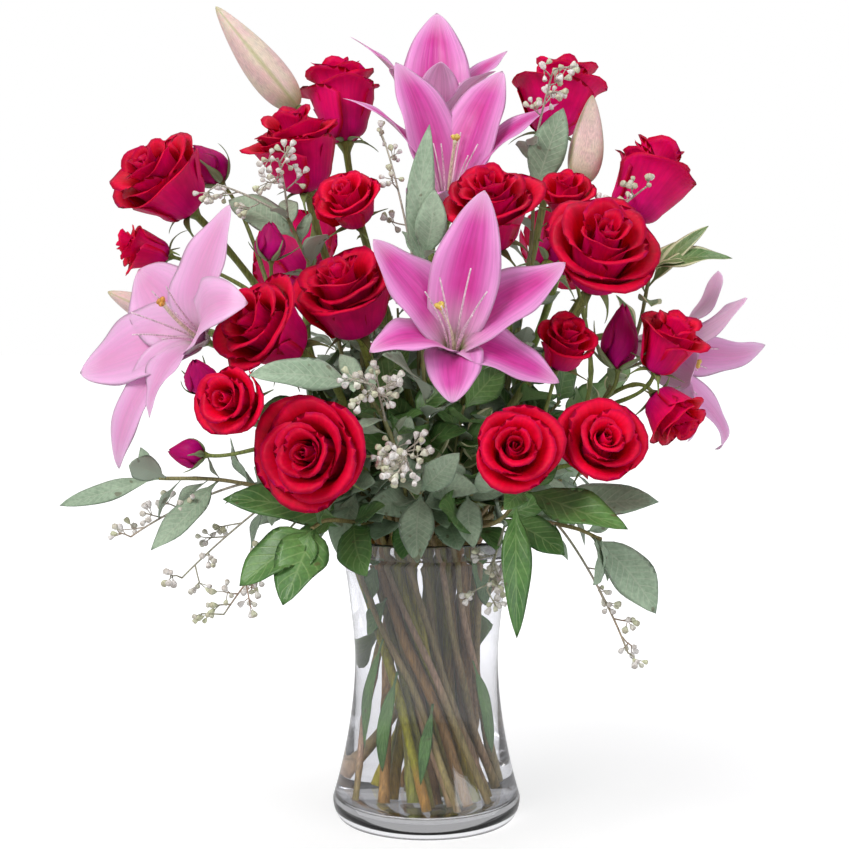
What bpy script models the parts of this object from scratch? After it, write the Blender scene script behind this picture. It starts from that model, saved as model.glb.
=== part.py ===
"""A bouquet of red roses, spray roses, pink lilies and greenery in a clear glass gathering vase.

Metres, +Z up. The origin is the centre of the flat ring-edged face that the vase stands on, and -Y is the
bouquet's front. Every stem stands in the vase as florists bind them: as one spiral, all leaning the same way,
so that no stem crosses through another.

Run it with blender --background --python part.py, or from Blender's text editor.
"""

import math

import bmesh
import bpy
import numpy as np
from mathutils import Matrix, Vector

# ---------------------------------------------------------------- driving dimensions

VASE_HEIGHT = 0.203
VASE_RIM_RADIUS = 0.0612
VASE_WAIST_RADIUS = 0.0508
VASE_WAIST_HEIGHT = 0.117
VASE_FOOT_RADIUS = 0.0668
VASE_FOOT_HEIGHT = 0.015
VASE_STANDING_RADIUS = 0.058
VASE_WALL = 0.0036
VASE_FLOOR = 0.014
VASE_FLOOR_ROUNDING = 0.006
VASE_SEGMENTS = 28

GAP = 0.0004  # left between pieces that touch
MOUTH_PATTERN_RADIUS = 0.0490  # the stems keep inside this circle at the vase's rim
SPIRAL_TURN = math.radians(104)  # how far the cut ends are turned from the stems' places at the rim
SPIRAL_FOOT_SPREAD = 1.02  # the cut ends' circle over the one at the rim
SPIRAL_LEAD = math.radians(16)  # how far a stem's place at the rim lags behind its flower
STEM_CLEARANCE = 0.0012
ROSE_STEM_RADIUS = 0.0031
SPRAY_STEM_RADIUS = 0.0025
LILY_STEM_RADIUS = 0.0042
BRANCH_STEM_RADIUS = 0.0024
BRANCH_TIP_RADIUS = 0.0013
ROSE_NECK_RADIUS = 0.0025  # a rose's stem just under its hip
HIP_SHOULDER_RADIUS = 0.0042
HIP_RADIUS = 0.0062
HIP_LENGTH = 0.008
SPRAY_ARM_RADIUS = 0.0015
SPRAY_BLOOM_NECK = 0.0040
SPRAY_BUD_NECK = 0.0030
LILY_ARM_RADIUS = 0.0026
LILY_BLOOM_NECK = 0.0040
LILY_BUD_NECK = 0.0034
ARM_NECK_LENGTH = 0.005  # the straight end of an arm, under its flower
ARM_SINK = 0.003  # how deep the first arm starts inside the trunk, so that they are one body
ARM_SINK_STEP = 0.002  # how much deeper each arm after it starts

# ---------------------------------------------------------------- the arrangement

# How far a stem is bent aside, half way up above the rim, to pass its neighbours.
STEM_BOWS = {
    "rose_07_stem": (0.004, -0.010, 0.0),
    "rose_09_stem": (0.000, 0.008, 0.0),
    "rose_10_stem": (0.000, 0.012, 0.0),
    "rose_11_stem": (-0.010, 0.014, 0.0),
}

# Standard roses: centre of the bloom, the way it faces, radius, height.
ROSES = (
    ((-0.053, -0.082, 0.372), (-0.25, -0.55, 0.80), 0.0320, 0.058),
    ((-0.103, -0.110, 0.350), (-0.65, -0.60, 0.45), 0.0310, 0.056),
    ((-0.069, -0.152, 0.273), (-0.35, -0.90, 0.15), 0.0355, 0.056),
    ((0.113, -0.096, 0.402), (0.15, -0.70, 0.65), 0.0365, 0.060),
    ((0.042, -0.078, 0.430), (-0.10, -0.60, 0.80), 0.0310, 0.060),
    ((-0.181, -0.022, 0.450), (-0.55, -0.45, 0.60), 0.0340, 0.058),
    ((-0.089, -0.012, 0.473), (-0.20, -0.25, 0.93), 0.0330, 0.060),
    ((-0.062, 0.046, 0.512), (-0.12, 0.15, 0.98), 0.0280, 0.062),
    ((0.095, 0.046, 0.515), (0.12, 0.15, 0.97), 0.0330, 0.058),
    ((0.152, -0.020, 0.452), (0.45, 0.05, 0.88), 0.0300, 0.062),
    ((0.104, 0.118, 0.408), (0.40, 0.75, 0.50), 0.0340, 0.058),
    ((-0.098, 0.118, 0.402), (-0.40, 0.75, 0.55), 0.0340, 0.058),
)

# Spray roses: where the stem forks, its open blooms (centre, facing, radius, height) and its shut buds (neck,
# facing, radius, height).
SPRAYS = (
    (
        (-0.100, -0.012, 0.352),
        (((-0.196, -0.022, 0.404), (-0.90, -0.25, 0.25), 0.0180, 0.038),),
        (
            ((-0.146, 0.024, 0.452), (-0.60, 0.05, 0.75), 0.0140, 0.034),
            ((-0.104, -0.056, 0.396), (0.00, -0.10, 1.0), 0.0110, 0.026),
        ),
    ),
    (
        (-0.072, -0.082, 0.276),
        (((-0.121, -0.146, 0.307), (-0.40, -0.90, 0.15), 0.0220, 0.036),),
        (
            ((-0.142, -0.116, 0.312), (-0.20, -0.55, 0.80), 0.0110, 0.025),
            ((-0.146, -0.092, 0.268), (-0.98, 0.0, 0.10), 0.0100, 0.024),
        ),
    ),
    (
        (0.060, -0.078, 0.250),
        (
            ((0.054, -0.165, 0.278), (0.00, -0.93, 0.36), 0.0270, 0.038),
            ((0.110, -0.146, 0.281), (0.15, -0.88, 0.42), 0.0265, 0.038),
            ((0.090, -0.098, 0.341), (0.20, -0.60, 0.78), 0.0195, 0.036),
        ),
        (),
    ),
    (
        (0.104, -0.046, 0.288),
        (
            ((0.157, -0.100, 0.342), (0.35, -0.35, 0.87), 0.0215, 0.044),
            ((0.162, -0.090, 0.294), (0.60, -0.45, -0.66), 0.0205, 0.038),
            ((0.094, -0.038, 0.441), (-0.05, -0.55, 0.83), 0.0190, 0.034),
        ),
        (((0.127, -0.072, 0.324), (0.08, -0.05, 1.0), 0.0130, 0.044),),
    ),
    (
        (-0.030, -0.036, 0.362),
        (((-0.052, -0.058, 0.434), (-0.30, -0.65, 0.70), 0.0235, 0.036),),
        (),
    ),
    (
        (0.012, 0.084, 0.300),
        (((0.030, 0.150, 0.330), (0.15, 0.93, 0.30), 0.0250, 0.038),),
        (((-0.040, 0.122, 0.318), (-0.45, 0.70, 0.50), 0.0120, 0.030),),
    ),
)

# Lilies: base of the throat, the way it faces, turn about that, tepal length, splay and recurve in degrees.
LILIES = (
    ((0.017, -0.122, 0.336), (0.02, -0.70, 0.71), -8, 0.112, 47, 24),
    ((0.014, 0.003, 0.425), (0.05, -0.32, 0.94), 38, 0.106, 40, 26),
    ((-0.148, -0.062, 0.342), (-0.50, -0.76, 0.34), 12, 0.108, 54, 50),
    ((0.142, -0.010, 0.340), (0.86, -0.28, -0.34), 30, 0.102, 36, 44),
    ((0.007, 0.048, 0.472), (-0.02, 0.08, 1.00), 0, 0.114, 30, 26),
)
LILY_WIDTH = 0.034
LILY_THROAT_RADIUS = 0.0045
LILY_SKIN = 0.0012
LILY_THROAT_LEAN = 8  # degrees from the facing, at the foot of a tepal
LILY_OUTER_WIDTH = 0.78  # the outer tepals' width over the inner ones'
PISTIL_LENGTH = 0.68  # over the tepals' length
PISTIL_RADIUS = 0.0016
STYLE_RADIUS = 0.0013
STIGMA_RADIUS = 0.0034

# Lily stems: where the stem forks, the lilies it carries, and its shut buds (neck, facing, radius, length).
LILY_STEMS = (
    ((-0.004, -0.040, 0.300), (0, 1, 4), ()),
    (
        (-0.078, 0.006, 0.318),
        (2,),
        (
            ((-0.092, 0.030, 0.505), (-0.66, 0.00, 0.75), 0.0155, 0.092),
            ((-0.172, 0.000, 0.352), (-0.93, -0.05, 0.36), 0.0120, 0.056),
        ),
    ),
    ((0.053, 0.029, 0.280), (3,), (((0.106, -0.010, 0.448), (0.17, 0.02, 0.98), 0.0135, 0.062),)),
)

# Greenery: the branch's course above the rim, the number of leaves it grows by itself, their length, and the
# numbers of those left off where a flower stands in the way. Then the leaves placed one by one: share of the
# branch's length, tip, width. Then the seed panicles: share of the branch's length, tip.
BRANCHES = {}


def branch(name, kind, course, leaves, length, left_off=(), placed=(), panicles=()):
    """Adds one branch of greenery to the arrangement."""
    BRANCHES[name] = (kind, course, leaves, length, left_off, placed, panicles)


branch(
    "eucalyptus_left_low",
    "eucalyptus",
    ((-0.080, -0.052, 0.234), (-0.132, -0.082, 0.250), (-0.176, -0.086, 0.252)),
    5,
    0.046,
    placed=((1.0, (-0.241, -0.092, 0.236), 0.014), (0.80, (-0.178, -0.112, 0.208), 0.021)),
    panicles=((0.70, (-0.182, -0.090, 0.222)), (0.40, (-0.124, -0.116, 0.176))),
)
branch(
    "eucalyptus_front",
    "eucalyptus",
    ((-0.014, -0.080, 0.244), (-0.026, -0.112, 0.290), (-0.042, -0.132, 0.316)),
    6,
    0.040,
    left_off=(0,),
    placed=((1.0, (-0.107, -0.165, 0.326), 0.024),),
    panicles=((0.55, (-0.022, -0.172, 0.290)),),
)
branch(
    "eucalyptus_right_low",
    "eucalyptus",
    ((0.064, -0.070, 0.222), (0.094, -0.104, 0.222), (0.112, -0.118, 0.216)),
    4,
    0.042,
    placed=((0.95, (0.146, -0.130, 0.170), 0.030), (0.60, (0.146, -0.132, 0.243), 0.030)),
    panicles=((0.75, (0.124, -0.114, 0.146)),),
)
branch(
    "eucalyptus_centre",
    "eucalyptus",
    ((0.000, -0.060, 0.280), (-0.004, -0.074, 0.360), (-0.001, -0.084, 0.396)),
    6,
    0.044,
    left_off=(2, 3),
    placed=(
        (1.0, (0.005, -0.095, 0.440), 0.021),
        (0.90, (0.002, -0.092, 0.482), 0.019),
        (0.55, (-0.024, -0.138, 0.338), 0.028),
    ),
)
branch(
    "eucalyptus_left_high",
    "eucalyptus",
    ((-0.050, -0.016, 0.290), (-0.066, -0.026, 0.360), (-0.094, -0.038, 0.424)),
    6,
    0.046,
    left_off=(0,),
    placed=((0.94, (-0.136, -0.020, 0.438), 0.028),),
    panicles=((1.0, (-0.094, -0.064, 0.460)),),
)
branch(
    "eucalyptus_right_high",
    "eucalyptus",
    ((0.052, -0.012, 0.290), (0.072, -0.004, 0.400), (0.074, -0.010, 0.470)),
    6,
    0.046,
    left_off=(0, 2, 4),
    placed=((0.90, (0.094, -0.018, 0.500), 0.026),),
    panicles=((1.0, (0.090, -0.026, 0.520)), (0.60, (0.142, -0.062, 0.440))),
)
branch(
    "eucalyptus_back",
    "eucalyptus",
    ((-0.030, 0.082, 0.250), (-0.060, 0.130, 0.300), (-0.072, 0.168, 0.330)),
    8,
    0.048,
    panicles=((0.80, (-0.062, 0.176, 0.270)),),
)
branch(
    "salal_left",
    "salal",
    ((-0.046, -0.080, 0.222), (-0.064, -0.116, 0.228), (-0.072, -0.140, 0.226)),
    4,
    0.060,
    left_off=(2,),
    placed=((0.95, (-0.088, -0.172, 0.184), 0.034), (0.70, (-0.128, -0.122, 0.246), 0.030)),
)
branch(
    "salal_right",
    "salal",
    ((0.044, -0.086, 0.222), (0.060, -0.116, 0.244), (0.066, -0.130, 0.250)),
    3,
    0.060,
    placed=((0.95, (0.124, -0.165, 0.228), 0.030), (0.85, (0.057, -0.146, 0.158), 0.020)),
)
branch(
    "salal_back",
    "salal",
    ((0.056, 0.080, 0.228), (0.100, 0.118, 0.260), (0.132, 0.140, 0.290)),
    7,
    0.062,
)
branch(
    "pittosporum_right",
    "pittosporum",
    ((0.090, 0.000, 0.250), (0.140, -0.014, 0.330), (0.152, -0.046, 0.392)),
    8,
    0.040,
    left_off=(4,),
    placed=((1.0, (0.204, -0.060, 0.396), 0.018), (0.94, (0.190, -0.050, 0.418), 0.012)),
)

# ---------------------------------------------------------------- Blender helpers


def clear_scene():
    for thing in list(bpy.data.objects):
        bpy.data.objects.remove(thing)


def make_material(name, colour, roughness, alpha=1.0):
    material = bpy.data.materials.new(name)
    material.use_nodes = True
    shader = material.node_tree.nodes["Principled BSDF"]
    shader.inputs["Base Color"].default_value = (*colour, 1.0)
    shader.inputs["Roughness"].default_value = roughness
    shader.inputs["Metallic"].default_value = 0.0
    shader.inputs["Alpha"].default_value = alpha
    return material


def place(name, mesh, material, matrix=None):
    """Adds the mesh to the scene as one named piece, shaded smooth but for its sharp edges."""
    thing = bpy.data.objects.new(name, mesh)
    bpy.context.scene.collection.objects.link(thing)
    mesh.materials.clear()
    mesh.materials.append(material)
    mesh.shade_smooth()
    mesh.set_sharp_from_angle(angle=math.radians(40))
    if matrix is not None:
        thing.matrix_world = matrix
    return thing


def evaluated_mesh(thing):
    """The mesh that the object shows with its modifiers or its bevel, welded; the object is removed."""
    bpy.context.view_layer.update()
    graph = bpy.context.evaluated_depsgraph_get()
    mesh = bpy.data.meshes.new_from_object(thing.evaluated_get(graph))
    bpy.data.objects.remove(thing)
    work = bmesh.new()
    work.from_mesh(mesh)
    bmesh.ops.remove_doubles(work, verts=work.verts, dist=1e-6)
    bmesh.ops.recalc_face_normals(work, faces=work.faces)
    work.to_mesh(mesh)
    work.free()
    return mesh


def fused(meshes):
    """One closed mesh from overlapping closed meshes, by a Boolean union."""
    body = bpy.data.objects.new("fused", meshes[0])
    bpy.context.scene.collection.objects.link(body)
    others = bpy.data.collections.new("others")
    bpy.context.scene.collection.children.link(others)
    for mesh in meshes[1:]:
        others.objects.link(bpy.data.objects.new("other", mesh))
    join = body.modifiers.new("Join", "BOOLEAN")
    join.operation = "UNION"
    join.operand_type = "COLLECTION"
    join.collection = others
    join.solver = "EXACT"
    mesh = evaluated_mesh(body)
    for thing in list(others.objects):
        bpy.data.objects.remove(thing)
    bpy.data.collections.remove(others)
    return mesh


def unit(vector):
    vector = np.asarray(vector, float)
    return vector / np.linalg.norm(vector)


def facing_matrix(origin, facing, turn=0.0):
    """Stands a shape made along +Z at origin, facing that way; its +X starts as near upright as it can."""
    z = unit(facing)
    x = unit(np.array((0, 0, 1.0)) - z[2] * z) if abs(z[2]) < 0.999 else np.array((1.0, 0, 0))
    y = np.cross(z, x)
    rotation = Matrix((x, y, z)).transposed().to_4x4()
    return Matrix.Translation(Vector(origin)) @ rotation @ Matrix.Rotation(turn, 4, "Z")


# ---------------------------------------------------------------- shapes


def turned_mesh(profile, segments):
    """A closed body turned about +Z from (radius, height) points that start and end on the axis."""
    work = bmesh.new()
    rail = [work.verts.new((radius, 0, height)) for radius, height in profile]
    edges = [work.edges.new(pair) for pair in zip(rail, rail[1:])]
    bmesh.ops.spin(
        work,
        geom=rail + edges,
        cent=(0, 0, 0),
        axis=(0, 0, 1),
        angle=math.tau,
        steps=segments,
        use_merge=True,
    )
    bmesh.ops.remove_doubles(work, verts=work.verts, dist=1e-6)
    bmesh.ops.recalc_face_normals(work, faces=work.faces)
    mesh = bpy.data.meshes.new("turned")
    work.to_mesh(mesh)
    work.free()
    return mesh


def rod_mesh(points, radii, sides=6):
    """A capped round rod along the points, from a curve with a bevel."""
    curve = bpy.data.curves.new("rod", "CURVE")
    curve.dimensions = "3D"
    curve.bevel_depth = 1.0
    curve.bevel_resolution = (sides - 4) // 2
    curve.use_fill_caps = True
    spline = curve.splines.new("POLY")
    spline.points.add(len(points) - 1)
    for node, point, radius in zip(spline.points, points, radii):
        node.co = (*point, 1.0)
        node.radius = radius
    thing = bpy.data.objects.new("rod", curve)
    bpy.context.scene.collection.objects.link(thing)
    return evaluated_mesh(thing)


def hermite(start, start_pull, end, end_pull, shares):
    """Points on the smooth curve that leaves start along start_pull and reaches end along end_pull."""
    t = np.asarray(shares, float)[:, None]
    return (
        (2 * t**3 - 3 * t**2 + 1) * start
        + (t**3 - 2 * t**2 + t) * start_pull
        + (3 * t**2 - 2 * t**3) * end
        + (t**3 - t**2) * end_pull
    )


def through(points, count):
    """count points, evenly spaced along a smooth (Catmull-Rom) curve through the given ones."""
    given = np.array(points, float)
    ends = np.vstack((2 * given[0] - given[1], given, 2 * given[-1] - given[-2]))
    pulls = (ends[2:] - ends[:-2]) / 2
    shares = np.linspace(0, 1, 17)[:-1]
    spans = range(len(given) - 1)
    fine = [hermite(given[i], pulls[i], given[i + 1], pulls[i + 1], shares) for i in spans]
    fine = np.vstack((*fine, given[-1:]))
    lengths = np.concatenate(((0,), np.cumsum(np.linalg.norm(np.diff(fine, axis=0), axis=1))))
    wanted = np.linspace(0, lengths[-1], count)
    return np.column_stack([np.interp(wanted, lengths, fine[:, axis]) for axis in range(3)])


def at_share(route, share):
    """The point and the direction of a route at a share of its length."""
    steps = np.linalg.norm(np.diff(route, axis=0), axis=1)
    lengths = np.concatenate(((0,), np.cumsum(steps)))
    where = share * lengths[-1]
    point = np.array([np.interp(where, lengths, route[:, axis]) for axis in range(3)])
    index = min(int(np.searchsorted(lengths, where, side="right")) - 1, len(steps) - 1)
    return point, unit(route[index + 1] - route[index])


# ---------------------------------------------------------------- the vase


def vase_outer_radius(height):
    """The wall's outer radius: from the waist it flares as a power of the distance, up to the rim and down to
    the foot."""
    if height > VASE_WAIST_HEIGHT:
        share = (height - VASE_WAIST_HEIGHT) / (VASE_HEIGHT - VASE_WAIST_HEIGHT)
        return VASE_WAIST_RADIUS + (VASE_RIM_RADIUS - VASE_WAIST_RADIUS) * share**1.4
    share = (VASE_WAIST_HEIGHT - height) / (VASE_WAIST_HEIGHT - VASE_FOOT_HEIGHT)
    return VASE_WAIST_RADIUS + (VASE_FOOT_RADIUS - VASE_WAIST_RADIUS) * share**1.9


def make_vase(material):
    """A blown glass vase with a thick base, a waist, and a rim melted round."""
    quarter = [math.radians(angle) for angle in (-60, -30, 0)]
    heel_width = VASE_FOOT_RADIUS - VASE_STANDING_RADIUS
    heel = [
        (VASE_STANDING_RADIUS + heel_width * math.cos(a), VASE_FOOT_HEIGHT * (1 + math.sin(a)))
        for a in quarter
    ]
    wall_heights = np.linspace(VASE_FOOT_HEIGHT, VASE_HEIGHT - VASE_WALL / 2, 8)[1:]
    wall = [(vase_outer_radius(z), z) for z in wall_heights]
    lip_centre = VASE_RIM_RADIUS - VASE_WALL / 2
    lip = [
        (lip_centre + VASE_WALL / 2 * math.cos(a), VASE_HEIGHT - VASE_WALL / 2 * (1 - math.sin(a)))
        for a in (math.pi / 4, math.pi * 3 / 4)
    ]
    inner_heights = np.linspace(VASE_HEIGHT - VASE_WALL / 2, VASE_FLOOR + VASE_FLOOR_ROUNDING, 8)
    inside = [(vase_outer_radius(z) - VASE_WALL, z) for z in inner_heights]
    floor = [(inside[-1][0] - VASE_FLOOR_ROUNDING, VASE_FLOOR), (0, VASE_FLOOR)]
    profile = [(0, 0), (VASE_STANDING_RADIUS, 0), *heel, *wall, *lip, *inside, *floor]
    return place("vase", turned_mesh(profile, VASE_SEGMENTS), material)


# ---------------------------------------------------------------- stems


def neck_of(bloom):
    """The point and facing at which a bloom stands on its stem, with the gap left between them."""
    centre, facing, _, height = bloom
    return np.asarray(centre) - unit(facing) * (height / 2 + GAP), facing


def rotated(points, angle):
    cosine, sine = math.cos(angle), math.sin(angle)
    return np.asarray(points) @ np.array(((cosine, sine), (-sine, cosine)))


def places_at_rim():
    """Where each stem passes the rim: on its flower's side, pushed apart until no two stems touch.
    They come in the order roses, spray roses, lilies, greenery."""
    targets = [neck_of(rose)[0] for rose in ROSES] + [spray[0] for spray in SPRAYS]
    targets += [stem[0] for stem in LILY_STEMS]
    targets += [course[-1] for _, course, *_ in BRANCHES.values()]
    targets = np.array(targets, float)[:, :2]
    radii = [ROSE_STEM_RADIUS] * len(ROSES) + [SPRAY_STEM_RADIUS] * len(SPRAYS)
    radii += [LILY_STEM_RADIUS] * len(LILY_STEMS) + [BRANCH_STEM_RADIUS] * len(BRANCHES)
    reach = np.linalg.norm(targets, axis=1).max()
    spots = rotated(targets, -SPIRAL_LEAD) * (MOUTH_PATTERN_RADIUS / reach)
    pinch = math.cos(SPIRAL_TURN / 2) * SPIRAL_FOOT_SPREAD
    wanted = (np.add.outer(radii, radii) + STEM_CLEARANCE) / pinch
    for _ in range(600):
        apart = spots[:, None] - spots[None]
        distance = np.linalg.norm(apart, axis=2) + np.eye(len(spots))
        short = np.clip(wanted - distance, 0, None) * (1 - np.eye(len(spots)))
        spots = spots + 0.4 * (apart / distance[..., None] * short[..., None]).sum(axis=1)
        outside = np.linalg.norm(spots, axis=1) / MOUTH_PATTERN_RADIUS
        spots = spots / np.clip(outside, 1, None)[:, None]
    return spots


def foot_and_rim(spot, radius):
    """The straight run of a stem of this radius in the vase: its cut end, which is square to it and stands on
    the floor by its lower edge, and the point level with the rim."""
    foot = rotated(spot, SPIRAL_TURN) * SPIRAL_FOOT_SPREAD
    across = np.linalg.norm(foot - spot)
    lift = radius * across / math.hypot(across, VASE_HEIGHT - VASE_FLOOR)
    return np.array((*foot, VASE_FLOOR + GAP + lift)), np.array((*spot, VASE_HEIGHT))


def stem_route(spot, radius, neck, facing, bow):
    """Cut end, straight run through the vase, then one smooth curve to the flower, along its facing."""
    foot, rim = foot_and_rim(spot, radius)
    neck, facing = np.asarray(neck), unit(facing)
    chord = np.linalg.norm(neck - rim)
    last = neck - facing * HIP_LENGTH
    shares = np.linspace(0, 1, 7)
    curve = hermite(rim, unit(rim - foot) * chord * 1.1, last, facing * chord * 0.9, shares)
    curve += np.outer(np.sin(math.pi * shares) ** 2, bow)
    return np.vstack((foot, curve, neck))


def make_rose_stem(name, spot, neck, facing, material):
    """A rose's stem, widening at its top into the hip that the bloom stands on."""
    route = stem_route(spot, ROSE_STEM_RADIUS, neck, facing, STEM_BOWS.get(name, (0, 0, 0)))
    radii = np.linspace(ROSE_STEM_RADIUS, ROSE_NECK_RADIUS, len(route))
    radii[-2:] = HIP_SHOULDER_RADIUS, HIP_RADIUS
    return place(name, rod_mesh(route, radii), material)


def forked_stem(spot, fork, ends, bottom_radius, arm_radius):
    """Closed meshes of a stem to its fork and of an arm to each end, a neck with a facing and a radius."""
    foot, rim = foot_and_rim(spot, bottom_radius)
    fork = np.array(fork)
    rising = unit(rim - foot)
    chord = np.linalg.norm(fork - rim)
    rise = hermite(rim, rising * chord, fork, unit(fork - rim) * chord, np.linspace(0, 1, 5))
    trunk = np.vstack((foot, rise))
    meshes = [rod_mesh(trunk, np.linspace(bottom_radius, arm_radius * 1.25, len(trunk)))]
    upward = unit(trunk[-1] - trunk[-2])
    for number, (neck, facing, neck_radius) in enumerate(ends):
        neck, facing = np.asarray(neck), unit(facing)
        start = fork - upward * (ARM_SINK + ARM_SINK_STEP * number)
        end = neck - facing * ARM_NECK_LENGTH
        chord = np.linalg.norm(neck - start)
        curve = hermite(start, upward * chord * 0.9, end, facing * chord * 0.8, np.linspace(0, 1, 6))
        arm = np.vstack((curve, neck))
        radii = np.full(len(arm), arm_radius)
        radii[-1] = neck_radius
        meshes.append(rod_mesh(arm, radii))
    return meshes


# ---------------------------------------------------------------- blooms


def rose_profile(radius, height):
    """An open rose cut down its axis: a cup of petals, and inside it two more whorls parted by deep folds."""
    shares = (
        (0.00, 0.00),
        (0.22, 0.00),
        (0.72, 0.18),
        (0.96, 0.52),
        (1.00, 0.88),
        (0.90, 0.90),
        (0.72, 0.46),
        (0.64, 0.96),
        (0.52, 0.96),
        (0.40, 0.54),
        (0.28, 1.00),
        (0.00, 0.90),
    )
    return [(radius * r, height * z) for r, z in shares]


def make_rose_bloom(name, centre, facing, radius, height, petals, material):
    """A rose bloom whose whorls are each drawn out into petals, turned from one whorl to the next."""
    mesh = turned_mesh(rose_profile(radius, height), 3 * petals)
    for vertex in mesh.vertices:
        x, y, z = vertex.co
        reach, angle = math.hypot(x, y), math.atan2(y, x)
        depth = 0.055 * min(1.0, z / (0.5 * height))
        scale = 1 + depth * math.cos(petals * angle + 9 * reach / radius)
        vertex.co = (x * scale, y * scale, z)
    neck = np.asarray(centre) - unit(facing) * height / 2
    return place(name, mesh, material, facing_matrix(neck, facing))


def bud_mesh(neck, facing, radius, length):
    """A shut bud: a closed egg that stands on its neck and narrows to a point."""
    profile = [(0, -0.002), (radius * 0.35, -0.002), (radius * 0.9, length * 0.22), (radius, length * 0.42)]
    profile += [(radius * 0.72, length * 0.74), (0, length)]
    mesh = turned_mesh(profile, 7)
    mesh.transform(facing_matrix(neck, facing))
    return mesh


def tepal_line(length, splay, recurve, shares):
    """Radius and height of a tepal's middle line: it leaves the throat steeply, leans out, and its tip curls
    back."""
    fine = np.linspace(0, 1, 101)
    ease = np.clip(fine / 0.45, 0, 1)
    curl = recurve * np.clip((fine - 0.5) / 0.5, 0, 1) ** 1.5
    lean = np.radians(LILY_THROAT_LEAN + (splay - LILY_THROAT_LEAN) * ease**2 * (3 - 2 * ease) + curl)
    step = length / 100
    radius = LILY_THROAT_RADIUS + np.concatenate(((0,), np.cumsum(np.sin(lean[1:]) * step)))
    height = np.concatenate(((0,), np.cumsum(np.cos(lean[1:]) * step)))
    return np.interp(shares, fine, radius), np.interp(shares, fine, height)


def tepal_half_width(share, inner):
    """Half a tepal's width: lance-shaped, the three inner tepals broader than the three outer ones."""
    width = LILY_WIDTH * (1.0 if inner else LILY_OUTER_WIDTH)
    return 0.5 * width * math.sin(math.pi * share**0.8) ** 0.75


def make_lily_bloom(name, base, facing, turn, length, splay, recurve, material):
    """Six tepals that join into a short throat, thickened into one skin, with the pistil standing in the
    throat."""
    shares = (0.0, 0.14, 0.34, 0.56, 0.78, 0.97)
    joined = 2  # rows in which neighbouring tepals share their edge
    radius, height = tepal_line(length, splay, recurve, shares)
    work = bmesh.new()
    middle, left, right = [], [], []
    for k in range(6):
        angle = math.tau * k / 6
        out = Vector((math.cos(angle), math.sin(angle), 0))
        across = Vector((-math.sin(angle), math.cos(angle), 0))
        border = Vector((math.cos(angle + math.pi / 6), math.sin(angle + math.pi / 6), 0))
        spine, edge_left, edge_right = [], [], []
        for row, share in enumerate(shares):
            lift = Vector((0, 0, height[row]))
            spine.append(work.verts.new(out * radius[row] + lift))
            if row < joined:
                edge_left.append(work.verts.new(border * radius[row] + lift))
                continue
            half = max(tepal_half_width(share, k % 2 == 0), 0.0006)
            cupped = lift + Vector((0, 0, half * 0.25))
            edge_left.append(work.verts.new(out * radius[row] + across * half + cupped))
            edge_right.append(work.verts.new(out * radius[row] - across * half + cupped))
        middle.append(spine)
        left.append(edge_left)
        right.append(edge_right)
    for k in range(6):
        right[k] = left[k - 1][:joined] + right[k]
    for k in range(6):
        for row in range(len(shares) - 1):
            for a, b in ((middle[k], left[k]), (right[k], middle[k])):
                work.faces.new((a[row], b[row], b[row + 1], a[row + 1]))
    work.faces.new([corner for k in range(6) for corner in (middle[k][0], left[k][0])])
    bmesh.ops.recalc_face_normals(work, faces=work.faces)
    mesh = bpy.data.meshes.new("tepals")
    work.to_mesh(mesh)
    work.free()
    thing = bpy.data.objects.new("tepals", mesh)
    bpy.context.scene.collection.objects.link(thing)
    skin = thing.modifiers.new("Skin", "SOLIDIFY")
    skin.thickness = LILY_SKIN
    skin.offset = 0
    tepals = evaluated_mesh(thing)
    reach = length * PISTIL_LENGTH
    pistil_line = ((0, 0, 0), (0, 0, reach * 0.94), (0, 0, reach))
    pistil = rod_mesh(pistil_line, (PISTIL_RADIUS, STYLE_RADIUS, STIGMA_RADIUS))
    mesh = fused((tepals, pistil))
    return place(name, mesh, material, facing_matrix(base, facing, math.radians(turn)))


# ---------------------------------------------------------------- greenery


LEAF_THICKNESS = 0.0009
LEAF_STALK_RADIUS = 0.0009
LEAF_WIDTH = {"eucalyptus": 0.42, "salal": 0.50, "pittosporum": 0.38}  # over the leaf's length
FIRST_LEAF = 0.38  # share of the branch, counted from the rim, where leaves begin
SEED_STALK_RADII = (0.0010, 0.0009, 0.0008)
SEED_CLUMP_RADIUS = 0.0036
SEED_CLUMP_LENGTH = 0.013


def leaf_mesh(base, tip, width, face, bow, rows):
    """A leaf from the branch to its tip: a thin stalk, then a blade that bows along its length, thickened."""
    base, tip = np.asarray(base, float), np.asarray(tip, float)
    along = tip - base
    length = np.linalg.norm(along)
    normal = unit(np.asarray(face, float) - unit(along) * np.dot(face, unit(along)))
    across = np.cross(unit(along), normal)
    work = bmesh.new()
    bmesh.ops.create_grid(work, x_segments=2, y_segments=rows, size=1.0)
    for vertex in work.verts:
        side, share = vertex.co.x, (vertex.co.y + 1) / 2
        blade = 0.5 * width * math.sin(math.pi * np.clip((share - 0.06) / 0.94, 0, 1) ** 0.85) ** 0.8
        half = max(blade, LEAF_STALK_RADIUS)
        centre = base + along * share + normal * bow * length * 4 * share * (1 - share)
        vertex.co = Vector(centre + across * side * half + normal * abs(side) * half * 0.18)
    mesh = bpy.data.meshes.new("leaf")
    work.to_mesh(mesh)
    work.free()
    thing = bpy.data.objects.new("leaf", mesh)
    bpy.context.scene.collection.objects.link(thing)
    blade = thing.modifiers.new("Blade", "SOLIDIFY")
    blade.thickness = LEAF_THICKNESS
    blade.offset = 0
    return evaluated_mesh(thing)


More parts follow.
